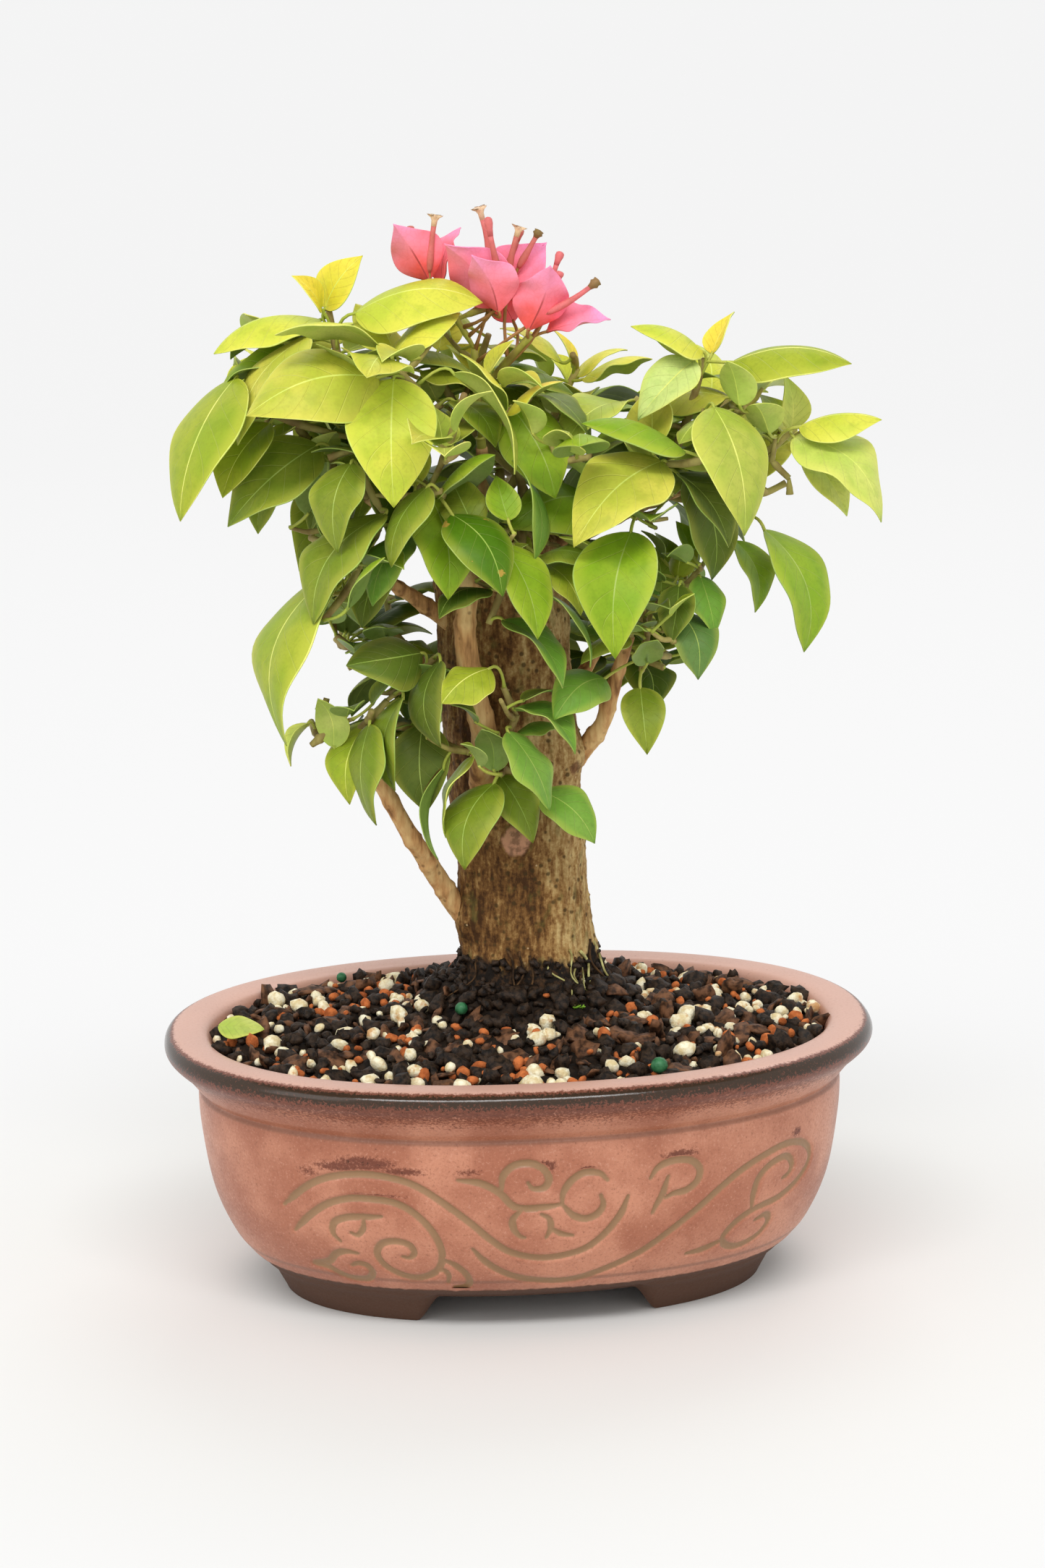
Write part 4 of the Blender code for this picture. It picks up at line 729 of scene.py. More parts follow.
# How blades curve, each value as it is or drawn from its range: where the outline is widest and how
# fast it falls, how the blade is cupped, waved, folded, arched and drooping, and how it sways and
# twists. A leaf below a share of the full length is a young one.
YOUNG_SHARE = 0.62
YOUNG_SHAPE = dict(
    peak=0.34, fall=1.15, cup=(-0.45, -0.15), wave=(0.0, 0.012), waves=(0.9, 2.2), fold=0.0,
    arch=(-0.02, 0.04), droop=(0.0, 0.08), sway=(-0.07, 0.07), twist=(-0.5, 0.5))
GROWN_SHAPE = dict(
    peak=0.39, fall=1.0, cup=(0.08, 0.42), wave=(0.006, 0.045), waves=(0.9, 2.2), fold=(-3, 17),
    arch=(0.01, 0.07), droop=(0.03, 0.2), sway=(-0.07, 0.07), twist=(-0.5, 0.5))
BRACT_SHAPE = dict(
    peak=(0.37, 0.45), fall=(1.2, 1.45), cup=(-0.35, 0.0), wave=(0.03, 0.06), waves=(1.4, 2.6), fold=0.0,
    arch=-0.05, droop=(-0.14, 0.1), sway=(-0.08, 0.08), twist=(-0.4, 0.4))
LITTER_SHAPE = dict(
    peak=0.42, fall=0.9, cup=0.15, wave=0.02, waves=1.5, fold=0.0, arch=0.0, droop=0.05, sway=0.03,
    twist=0.2)
# Blades that point up or lie nearly level have their margins bent down, by at least this angle
LEVEL_BLADE = -0.45
LEVEL_FOLD = 7.0
VEIN_PAIRS = 6
VEIN_SLANT = 3.4

# Stage, in metres: the floor's rings, the bend up to the wall, and where the floor's own light begins
FLOOR_SIDES = 96
FLOOR_RINGS = (0.05, 0.15, 0.3, 0.6, 1.2, 1.9)
FLOOR_BEND_ROWS = 14
FLOOR_BEND_START = 0.1
FLOOR_BEND = 0.7
WALL_TOP = 3.2
FLOOR_FADE = (0.105, 0.32)
FLOOR_COLOUR = (0.81, 0.805, 0.785)
FLOOR_ROUGHNESS = 0.9
FLOOR_SPECULAR = 0.1
WALL_COLOUR = (0.16, 0.16, 0.16)
WALL_GLOW = 0.755

# Light: the sky's strength, the place that the lamps face, and each one's name, place, size and power
SKY_STRENGTH = 0.4
LIGHT_TARGET = Vector((0, 0, 0.15))
LIGHTS = (
    ("key", (-0.15, -1.25, 1.65), (1.8, 0.4), 23.0),
    ("fill", (-1.5, -0.9, 1.1), (1.0, 1.0), 4.0),
    ("back", (0.4, 1.1, 1.6), (1.2, 0.7), 6.0),
)


def trunk_out(angle, height, radius):
    """How far the trunk's bark is from its middle."""
    lobe = ROOT_LOBE_DEPTH * max(0.0, (ROOT_LOBE_TOP - height) / (ROOT_LOBE_TOP - TRUNK_FOOT)) ** 2
    out = radius + lobe * math.cos(ROOT_LOBES * angle)
    out += sum(deep * math.sin(count * angle + height / rise) for count, rise, deep in TRUNK_FLUTES)
    for facing, level, lift, spread in TRUNK_BUMPS:
        apart = (math.degrees(angle) - facing + 180) % 360 - 180
        away = math.hypot(math.radians(apart) * radius, height - level)
        out += lift * math.exp(-((away / spread) ** 2))
    return out


def trunk_shape():
    """The trunk's solid, which the leaves keep clear of."""
    rings = []
    for height, middle, radius in TRUNK_SECTIONS:
        ring = []
        for side in range(TRUNK_SIDES):
            angle = 2 * math.pi * side / TRUNK_SIDES
            out = trunk_out(angle, height, radius)
            x, y = middle + out * math.cos(angle), TRUNK_Y + out * math.sin(angle)
            ring.append(Vector((x, y, height)))
        rings.append(ring)
    return loft(rings)


def loft(rings, tip=None):
    """Joins rings of as many places each, with faces pointing out, and closes both ends, the last
    one in a point where there is a tip."""
    sides = len(rings[0])
    places = [place for ring in rings for place in ring]
    faces = [tuple(reversed(range(sides)))]
    for level in range(len(rings) - 1):
        low = level * sides
        for side in range(sides):
            after = (side + 1) % sides
            faces.append((low + side, low + after, low + sides + after, low + sides + side))
    last = len(places) - sides
    if tip is None:
        faces.append(tuple(range(last, last + sides)))
    else:
        faces += [(last + side, last + (side + 1) % sides, len(places)) for side in range(sides)]
        places.append(tip)
    return places, faces


def smooth_path(places, per_leg):
    """More places along a curve that passes through the given ones."""
    knots = [Vector(place) for place in places]
    ends = [knots[0] * 2 - knots[1]] + knots + [knots[-1] * 2 - knots[-2]]
    path = []
    for leg in range(len(knots) - 1):
        before, start, stop, after = ends[leg:leg + 4]
        for step in range(per_leg):
            t = step / per_leg
            path.append(0.5 * (
                start * 2 + (stop - before) * t
                + (before * 2 - start * 5 + stop * 4 - after) * t * t
                + (start * 3 - before - stop * 3 + after) * t * t * t))
    path.append(knots[-1])
    return path


def tube(path, radii, sides):
    """A solid along a path whose section is a regular polygon."""
    rings = []
    facing = None
    for index, place in enumerate(path):
        ahead = path[min(index + 1, len(path) - 1)]
        behind = path[max(index - 1, 0)]
        along = (ahead - behind).normalized()
        if facing is None:
            facing = along.orthogonal().normalized()
        facing = (facing - along * facing.dot(along)).normalized()
        other = along.cross(facing)
        ring = []
        for side in range(sides):
            angle = 2 * math.pi * side / sides
            ring.append(place + (facing * math.cos(angle) + other * math.sin(angle)) * radii[index])
        rings.append(ring)
    return loft(rings)


def bough_line(name):
    foot, tip, places = BOUGHS[name]
    path = smooth_path(places, 2)
    radii = [foot + (tip - foot) * index / (len(path) - 1) for index in range(len(path))]
    return path, radii


def blade_frame(heading, pitch, turn):
    """The way along a blade, across it, and out of its upper side, which faces as far up as it can."""
    level = math.cos(math.radians(pitch))
    along = Vector((
        level * math.cos(math.radians(heading)), level * math.sin(math.radians(heading)),
        math.sin(math.radians(pitch))))
    face = (UP - along * along.z).normalized()
    face.rotate(Matrix.Rotation(math.radians(turn), 3, along))
    return along, along.cross(face), face


def blade_line(foot, frame, length, arch, share):
    """The place on a blade's arched midrib at a share of its length."""
    along, _, face = frame
    return foot + along * (length * share) + face * (arch * length * 4 * share * (1 - share))


def leaf_rings(root, foot, blade, stations, spare=0.0):
    """The three-sided sections of a leaf on its stalk, or of a bract, and its tip: at each a left
    and a right margin, and the keel under the midrib. Spare makes it thicker and wider all round."""
    frame, length, breadth, arch, fold = blade
    along, across, face = frame
    rings = []
    way = (foot - root).normalized()
    for place, ahead, radius in ((root, way, STALK_ROOT_RADIUS),
                                 (foot, (way + along).normalized(), STALK_RADIUS)):
        side = (across - ahead * across.dot(ahead)).normalized() * (radius + spare)
        top = side.cross(ahead)
        rings.append([place - side + top / 2, place + side + top / 2, place - top])
    for share, wide in stations:
        middle = blade_line(foot, frame, length, arch, share)
        half = length * breadth * wide / 2
        out = across * (half * math.cos(math.radians(fold)) + spare)
        lift = face * (half * math.sin(math.radians(fold)) + spare)
        below = middle - face * (BLADE_THICKNESS + spare)
        rings.append([middle - out + lift, middle + out + lift, below])
    return rings, blade_line(foot, frame, length + spare, arch, 1.0)


def tree_of(shape):
    """The shape's faces, sorted for finding where another shape crosses them."""
    return BVHTree.FromPolygons(*shape)


def within_outline(places):
    """Whether all of the places lie within the crown's outline, seen from the viewpoint."""
    for place in places:
        spot = VIEWPOINT + (place - VIEWPOINT) * (VIEWPOINT.y / (VIEWPOINT.y - place.y))
        inside = False
        for index, (across, high) in enumerate(CROWN_OUTLINE):
            last_across, last_high = CROWN_OUTLINE[index - 1]
            if (high > spot.z) != (last_high > spot.z):
                share = (spot.z - high) / (last_high - high)
                if spot.x < across + share * (last_across - across):
                    inside = not inside
        if not inside:
            return False
    return True


class Mass:
    """One mass of leaves: its twigs, which branch from one stem, and the leaves on them."""

    def __init__(self, name, start, middle=Vector(), reach=None):
        self.name = name
        self.middle = middle
        self.reach = reach
        self.twigs = []
        self.radii = []
        self.leaves = []
        self.flowers = []
        foot, way = start
        self.nodes = [(foot, 0.0), (foot + way * STEM_LENGTH, STEM_LENGTH)]
        self.lines = [[foot, foot + way * STEM_LENGTH]]
        self.forks = []
        self.roots = []

    def holds(self, place):
        away = place - self.middle
        return sum((away[axis] / self.reach[axis]) ** 2 for axis in range(3)) <= 1.0

    def nearest_node(self, tip):
        """The node that makes the shortest way to a tip, and how far along the twigs it is."""
        def cost(node):
            place, run = node
            return (tip - place).length + RUN_COST * run + FORK_SPACING * self.forks.count(place)

        return min(self.nodes[1:], key=cost)

    def branch(self, tip, rng, sag=TWIG_SAG):
        """Adds a twig to the tip from the node that makes the shortest way there."""
        foot, run = self.nearest_node(tip)
        self.forks.append(foot)
        gap = tip - foot
        bow = UP * (gap.length * sag)
        bow += Vector([rng.uniform(-1, 1) for _ in range(3)]) * (gap.length * TWIG_WANDER)
        steps = max(2, round(gap.length / TWIG_STEP))
        line = [foot]
        for step in range(1, steps + 1):
            share = step / steps
            place = foot + gap * share - bow * (4 * share * (1 - share))
            line.append(place)
            self.nodes.append((place, run + gap.length * share))
        self.lines.append(line)
        return line

    def branch_within(self, tip, rng):
        """Adds a twig that stays within the crown's outline, drawn in towards the middle if need be."""
        for _ in range(DRAW_IN_MOST):
            foot, _ = self.nearest_node(tip)
            if within_outline([foot.lerp(tip, share) for share in TWIG_PLACES]):
                break
            tip = self.middle.lerp(tip, DRAW_IN)
        return self.branch(tip, rng)

    def root_for(self, foot):
        """The nearest place on the twigs to a leaf's foot that no other leaf has taken."""
        places = [walk_back(line, away) for line in self.lines[1:]
                  for away in range(1, int(line_length(line)), LEAF_SPACING)]
        free = [place for place in places if all((place - root).length > LEAF_SPACING / 2
                                                 for root in self.roots)]
        root = min(free or places, key=lambda place: (place - foot).length)
        self.roots.append(root)
        return root

    def make_twigs(self):
        """The twigs as solids, each as thick as the way on from it to the mass's furthest tip."""
        longest = max(run for _, run in self.nodes)
        runs = {tuple(place): run for place, run in self.nodes}
        for line in self.lines:
            radii = [TWIG_TIP_RADIUS + TWIG_TAPER * (longest - runs[tuple(place)]) for place in line]
            if len(self.twigs):
                radii[-1] = TWIG_TIP_RADIUS
                radii[0] *= TWIG_ROOT_SHARE
            self.radii.append(radii)
            self.twigs.append(tube(line, radii, TWIG_SIDES))


def start_of(start, trunk):
    """Where a mass's stem begins and the way it goes, just clear of its bough's tip or of the trunk."""
    if isinstance(start, str):
        path, _ = bough_line(start)
        way = (path[-1] - path[-2]).normalized()
        return path[-1] + way * GAP, way
    place, way = Vector(start[0]), Vector(start[1]).normalized()
    if place.z < TRUNK_TOP:
        hit = trunk.ray_cast(place + way * STEM_SEARCH, -way)[0]
        return hit + way * (3 * GAP), way
    return place + UP * GAP, UP


def shoot_tips(mass, count, rng):
    """Seeded tips spread over the outer side of a mass's space, away from the trunk."""
    out = Vector((mass.middle.x - TRUNK_SECTIONS[-1][1], mass.middle.y - TRUNK_Y, 0))
    tips = []
    turn = rng.uniform(0, 360)
    for index in range(count):
        level = SHOOT_LEVELS[0] - SHOOT_LEVELS[1] * (index + 0.5) / count
        heading = math.radians(turn + TURN_PER_LEAF * index)
        way = Vector((math.cos(heading), math.sin(heading), 0)) * math.sqrt(1 - level * level)
        if way.dot(out) < 0:
            way -= out * (SHOOT_TURN * way.dot(out) / out.length_squared)
        way.z = level
        way.normalize()
        share = rng.uniform(*SHOOT_REACH)
        tips.append(mass.middle + Vector([way[axis] * mass.reach[axis] * share for axis in range(3)]))
    return sorted(tips, key=lambda tip: (tip - mass.nodes[0][0]).length)


def touches(shape, others):
    """Whether a shape crosses any of the others, which are given as sorted faces."""
    mine = tree_of(shape)
    return any(mine.overlap(other) for other in others)


class Grower:
    """Grows every mass's leaves, and keeps each one clear of all that is there already."""

    def __init__(self, limbs, masses):
        self.limbs = [tree_of(shape) for shape in limbs]
        self.solids = {mass.name: [tree_of(twig) for twig in mass.twigs] for mass in masses}
        self.blades = {mass.name: [] for mass in masses}
        self.leaves = {mass.name: [] for mass in masses}
        self.sights = []
        for across, high in OPEN_SKY:
            way = Vector((across, 0, high)) - VIEWPOINT
            self.sights.append((way.normalized(), SKY_REACH * way.length))
        self.paint = random.Random(PAINT_SEED)

    def keep_in_view(self, leaf):
        """Marks places on a front leaf that no leaf of the rule may hide."""
        _, foot, (frame, length, breadth, arch, _), _ = leaf
        for share, wide in SEEN_PLACES:
            place = blade_line(foot, frame, length, arch, share) + frame[1] * (length * breadth * wide)
            way = place - VIEWPOINT
            self.sights.append((way.normalized(), way.length - SIGHT_SPARE))

    def spoils_view(self, shape):
        """Whether a shape stands out of the outline, or hides a front leaf or a gap of sky."""
        if not within_outline(shape[0]):
            return True
        tree = tree_of(shape)
        return any(tree.ray_cast(VIEWPOINT, way, reach)[0] for way, reach in self.sights)

    def keep(self, mass, leaf):
        self.solids[mass.name].append(tree_of(leaf))
        self.leaves[mass.name].append(self.solids[mass.name][-1])

    def try_leaf(self, mass, root, foot, blade, stations, nudges, tint, behind=False):
        """Adds a leaf where it is clear of limbs, of other masses and of its own mass's blades, and
        behind the front leaves if need be."""
        foreign = list(self.limbs)
        for name, trees in self.solids.items():
            if name != mass.name:
                foreign += trees
        for nudge in nudges:
            moved = foot + blade[0][2] * nudge
            rings, tip = leaf_rings(root, moved, blade, stations, LEAF_CLEARANCE)
            if touches(loft(rings, tip), foreign + self.blades[mass.name]):
                continue
            if touches(loft(rings[1:], tip), self.leaves[mass.name]):
                continue
            rings, tip = leaf_rings(root, moved, blade, stations)
            if behind and self.spoils_view(loft(rings, tip)):
                continue
            self.keep(mass, loft(rings, tip))
            self.blades[mass.name].append(tree_of(loft(rings[1:], tip)))
            mass.leaves.append((root, moved, blade, tint))
            return True
        return False

    def front_leaves(self, mass, rows, rng):
        for x, y, z, heading, pitch, length, turn, tint in rows:
            foot = Vector((x, y, z))
            blade = (blade_frame(heading, pitch, turn), length, BLADE_BREADTH, rng.uniform(*FRONT_ARCH),
                     rng.uniform(*LEAF_FOLD))
            if self.try_leaf(mass, mass.root_for(foot), foot, blade, FULL_STATIONS, NUDGES, tint):
                self.keep_in_view(mass.leaves[-1])

    def tint_for(self, age, height):
        """A leaf's tint: yellow on young shoots, and darker and bluer the lower it hangs, partly as
        older leaves' own colour and partly as painted shade inside the crown.
        """
        # painted shade in part: the lower a leaf hangs, the darker the tint that it is dealt
        level = min(1.0, max(0.0, (height - LOWEST_LEAF) / (HIGHEST_LEAF - LOWEST_LEAF)))
        place = level + YOUTH * (1 - age) ** 2 + self.paint.gauss(0, TINT_SPREAD)
        index = int(place * len(RULE_TINTS_WITH_PAINTED_SHADE) * TINT_STEEPNESS)
        return RULE_TINTS_WITH_PAINTED_SHADE[min(len(RULE_TINTS_WITH_PAINTED_SHADE) - 1, max(0, index))]

    def shoot_leaves(self, mass, line, size, rng):
        """Leaves along a shoot, small and upright at its tip, larger and drooping lower down."""
        placed = 0
        run = line_length(line)
        turn = rng.uniform(0, 360)
        done = 0.0
        index = 0
        while done < run * LEAFED_SHARE and index < MOST_LEAVES:
            age = min(1.0, index / FULL_GROWN)
            root = walk_back(line, done)
            out = root - Vector((TRUNK_SECTIONS[-1][1], TRUNK_Y, root.z))
            heading = turn + TURN_PER_LEAF * index
            outward = math.degrees(math.atan2(out.y, out.x))
            swing = (heading - outward + 180) % 360 - 180
            heading = outward + swing * (1 - OUTWARD_PULL * age)
            pitch = TIP_PITCH - PITCH_DROP * age ** PITCH_POWER
            pitch += rng.uniform(-PITCH_SPREAD, PITCH_SPREAD)
            growth = math.sin(math.pi * (LENGTH_AGES[0] + LENGTH_AGES[1] * age))
            length = size * (LENGTH_LEAST + LENGTH_GROWTH * growth) * rng.uniform(*LENGTH_SPREAD)
            reach = rng.uniform(*STALK_LENGTHS) + STALK_GROWTH * age
            turned = rng.uniform(-LEAF_ROLL, LEAF_ROLL)
            arch = rng.uniform(*LEAF_ARCH)
            fold = rng.uniform(*LEAF_FOLD)
            for swing in SWINGS:
                rise = pitch * STALK_RISE[0] + STALK_RISE[1]
                foot = root + blade_frame(heading + swing, rise, 0)[0] * reach
                blade = (blade_frame(heading + swing, pitch, turned), length, BLADE_BREADTH, arch, fold)
                if not mass.holds(blade_line(foot, blade[0], length, arch, HELD_SHARE)):
                    continue
                if self.try_leaf(mass, root, foot, blade, PLAIN_STATIONS, NUDGES[:3],
                                 self.tint_for(age, foot.z), True):
                    placed += 1
                    break
            done += LEAF_STEP[0] + LEAF_STEP[1] * age + rng.uniform(0, LEAF_STEP[2])
            index += 1
        return placed

    def finer_twigs(self, mass, size, rng):
        """Short twigs with smaller leaves, off the mass's twigs and within the same reach."""
        grown = 0
        for _ in range(FINER_TRIES):
            line = mass.lines[rng.randrange(1, len(mass.lines))]
            foot = walk_back(line, rng.uniform(*FINER_PLACES) * line_length(line))
            out = math.degrees(math.atan2(foot.y - TRUNK_Y, foot.x - TRUNK_SECTIONS[-1][1]))
            heading = out + rng.uniform(-FINER_HEADING, FINER_HEADING)
            way = blade_frame(heading, rng.uniform(*FINER_PITCH), 0)[0]
            tip = foot + way * rng.uniform(*FINER_LENGTH)
            if not mass.holds(tip):
                continue
            twig = [foot, foot.lerp(tip, 0.5) - UP, tip]
            shape = tube([foot + way * FINER_CLEAR] + twig[1:], [TWIG_TIP_RADIUS + GAP] * 3, TWIG_SIDES)
            if self.spoils_view(shape) or touches(
                    shape, self.limbs + [tree for trees in self.solids.values() for tree in trees]):
                continue
            if self.shoot_leaves(mass, twig, size * FINER_SIZE, rng):
                mass.lines.append(twig)
                mass.radii.append([TWIG_TIP_RADIUS * share for share in FINER_TAPER])
                self.solids[mass.name].append(tree_of(shape))
                grown += 1
            if grown == FINER_MOST:
                break


def line_length(line):
    return sum((line[index + 1] - line[index]).length for index in range(len(line) - 1))


def walk_back(line, distance):
    """The place on a line a given distance back from its end."""
    for index in range(len(line) - 1, 0, -1):
        leg = (line[index] - line[index - 1]).length
        if distance <= leg:
            return line[index].lerp(line[index - 1], distance / leg)
        distance -= leg
    return line[0]


def side_twigs(mass, rows, rng):
    """A leaf that sits further than a stalk's length from the twigs gets a side twig to hang on."""
    for x, y, z, heading, _, _, _, _ in rows:
        foot = Vector((x, y, z))
        near = min((place for place, _ in mass.nodes[1:]), key=lambda place: (place - foot).length)
        if (near - foot).length > STALK_REACH:
            turn = math.radians(heading)
            back = Vector((math.cos(turn), math.sin(turn), SIDE_TWIG_RISE))
            mass.branch(foot - back * SIDE_TWIG_SETBACK, rng)


def grow_masses(trunk):
    """Every mass and the blossom with their twigs, then the bracts and flowers, and then the leaves."""
    masses = []
    shoots = {}
    for name, plan in MASSES.items():
        rng = random.Random(plan["seed"])
        mass = Mass(name, start_of(plan["start"], trunk), Vector(plan["middle"]), plan["reach"])
        shoots[name] = [mass.branch(Vector(tip), rng) for tip in plan["shoots"]]
        shoots[name] += [mass.branch_within(tip, rng) for tip in shoot_tips(mass, plan["more"], rng)]
        side_twigs(mass, FRONT_LEAVES.get(name, ()), rng)
        mass.make_twigs()
        masses.append(mass)
    blossom = Mass(BLOSSOM_NODE, start_of(BLOSSOM_START, trunk))
    rng = random.Random(BLOSSOM_SEED)
    for tip in BLOSSOM_SHOOTS:
        blossom.branch(Vector(tip), rng, 0.0)
    blossom.make_twigs()
    masses.append(blossom)
    limbs = [trunk_shape()]
    for name in BOUGHS:
        path, radii = bough_line(name)
        limbs.append(tube(path, [radius + GAP for radius in radii], LIMB_SIDES))
    grower = Grower(limbs, masses)
    for x, y, z, heading, pitch, length, turn in BRACTS:
        foot = Vector((x, y, z))
        blade = (blade_frame(heading, pitch, turn), length, BRACT_BREADTH, BRACT_ARCH, BRACT_FOLD)
        grower.try_leaf(blossom, blossom.root_for(foot), foot, blade, FULL_STATIONS, NUDGES, "bract")
    for x, y, z, heading, pitch, length, end in FLOWERS:
        add_flower(grower, blossom, Vector((x, y, z)), blade_frame(heading, pitch, 0)[0], length, end)
    for mass in masses[:-1]:
        rng = random.Random(MASSES[mass.name]["seed"] + 1)
        grower.front_leaves(mass, FRONT_LEAVES.get(mass.name, ()), rng)
    for mass in masses[:-1]:
        rng = random.Random(MASSES[mass.name]["seed"] + 2)
        for line in shoots[mass.name]:
            grower.shoot_leaves(mass, line, MASSES[mass.name]["size"], rng)
    for mass in masses[:-1]:
        rng = random.Random(MASSES[mass.name]["seed"] + 3)
        grower.finer_twigs(mass, MASSES[mass.name]["size"], rng)
        if mass.name == DEAD_LEAF_MASS:
            foot = Vector(DEAD_LEAF[:3])
            blade = (blade_frame(*DEAD_LEAF[3:6]), DEAD_LEAF[6], BLADE_BREADTH * DEAD_LEAF_SHARE,
                     DEAD_LEAF_ARCH, DEAD_LEAF_FOLD)
            mass.leaves.append((mass.root_for(foot), foot, blade, "dead"))
    return masses


def add_flower(grower, blossom, foot, way, length, end):
    """A slim tube with a spread mouth, on a fine stalk from the blossom's twig."""
    path = [blossom.root_for(foot), foot, foot + way * (length * FLOWER_THROAT), foot + way * length]
    radii = [STALK_ROOT_RADIUS, FLOWER_RADIUS, FLOWER_RADIUS * FLOWER_NECK, FLOWER_MOUTH_RADIUS]
    grower.keep(blossom, tube(path, radii, TWIG_SIDES))
    blossom.flowers.append((path[0], foot, way, length, end))


def grid_faces(rows, columns, closed):
    """The four-sided faces that join a grid of places row by row."""
    row = np.arange(rows - 1)[:, None] * columns
    column = np.arange(columns if closed else columns - 1)[None, :]
    after = (column + 1) % columns
    corners = [row + column, row + after, row + columns + after, row + columns + column]
    return np.stack([corner + 0 * column for corner in corners], -1).reshape(-1, 4)


class Heap:
    """Shapes that are joined into one piece: places, faces, each face's kind, each place's pattern."""

    def __init__(self):
        self.count = 0
        self.places = []
        self.patterns = []
        self.corners = []
        self.sizes = []
        self.kinds = []

    def add(self, places, faces, kinds, pattern=None):
        """Faces is an array with a row for each face, and kinds one number or one for each face."""
        places = np.asarray(places, float).reshape(-1, 3)
        faces = np.asarray(faces, int)
        self.places.append(places)
        self.patterns.append(np.zeros((len(places), 2)) if pattern is None else pattern)
        self.corners.append(faces.ravel() + self.count)
        self.sizes.append(np.full(len(faces), faces.shape[1]))
        self.kinds.append(np.broadcast_to(kinds, len(faces)))
        self.count += len(places)

    def fan(self, ring, middle, kind):
        """Closes the end of a shape that was just added, whose ring is given by its last places."""
        after = np.roll(ring, -1)
        self.add(middle, np.empty((0, 3), int), 0)
        corners = np.stack([ring, after, np.full(len(ring), self.count - 1)], -1)
        self.corners.append(corners.ravel())
        self.sizes.append(np.full(len(ring), 3))
        self.kinds.append(np.full(len(ring), kind))

    def pipe(self, path, radii, sides, kind):
        """A round tube along a path, whose pattern goes once round it and from 0 to 1 along it."""
        path = np.array([tuple(place) for place in path], float)
        ways = np.gradient(path, axis=0)
        ways /= np.linalg.norm(ways, axis=1)[:, None]
        facing = np.array(tuple(Vector(ways[0]).orthogonal().normalized()))
        facings = []
        for way in ways:
            facing = facing - way * facing.dot(way)
            facing /= np.linalg.norm(facing)
            facings.append(facing)
        facings = np.array(facings)
        others = np.cross(ways, facings)
        angles = angles_round(sides)
        turns = angles[None, :, None]
        out = np.cos(turns) * facings[:, None] + np.sin(turns) * others[:, None]
        radii = np.asarray(radii, float)
        radii = radii[:, None] if radii.ndim == 1 else radii
        rows = path[:, None] + out * (radii + np.zeros((1, sides)))[:, :, None]
        pattern = np.stack(np.broadcast_arrays(
            np.linspace(0, 1, len(path))[:, None], angles[None, :] / (2 * np.pi)), -1).reshape(-1, 2)
        ring = self.count + np.arange(sides)
        self.add(rows, grid_faces(len(path), sides, True), kind, pattern)
        self.fan(ring[::-1], path[:1], kind)
        self.fan(ring + (len(path) - 1) * sides, path[-1:], kind)

    def piece(self, name, nodes, materials, smooth=True, spots=None):
        """Makes the joined mesh, which rides on the root body and stands for the nodes."""
        mesh = bpy.data.meshes.new(name)
        corners = np.concatenate(self.corners)
        sizes = np.concatenate(self.sizes)
        places = np.concatenate(self.places) * MM
        mesh.vertices.add(len(places))
        mesh.vertices.foreach_set("co", places.ravel())
        mesh.loops.add(len(corners))
        mesh.loops.foreach_set("vertex_index", corners)
        mesh.polygons.add(len(sizes))
        mesh.polygons.foreach_set("loop_start", np.cumsum(sizes) - sizes)
        mesh.polygons.foreach_set("material_index", np.concatenate(self.kinds))
        mesh.update(calc_edges=True)
        if smooth:
            mesh.shade_smooth()
        layer = mesh.uv_layers.new(name="pattern")
        layer.uv.foreach_set("vector", np.concatenate(self.patterns)[corners].ravel())
        if spots is not None:
            mesh.attributes.new("spots", "FLOAT", "POINT").data.foreach_set("value", spots)
        for material in materials:
            mesh.materials.append(material)
        item = bpy.data.objects.new(name, mesh)
        bpy.context.scene.collection.objects.link(item)
        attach(item, "root")
        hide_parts(*nodes)


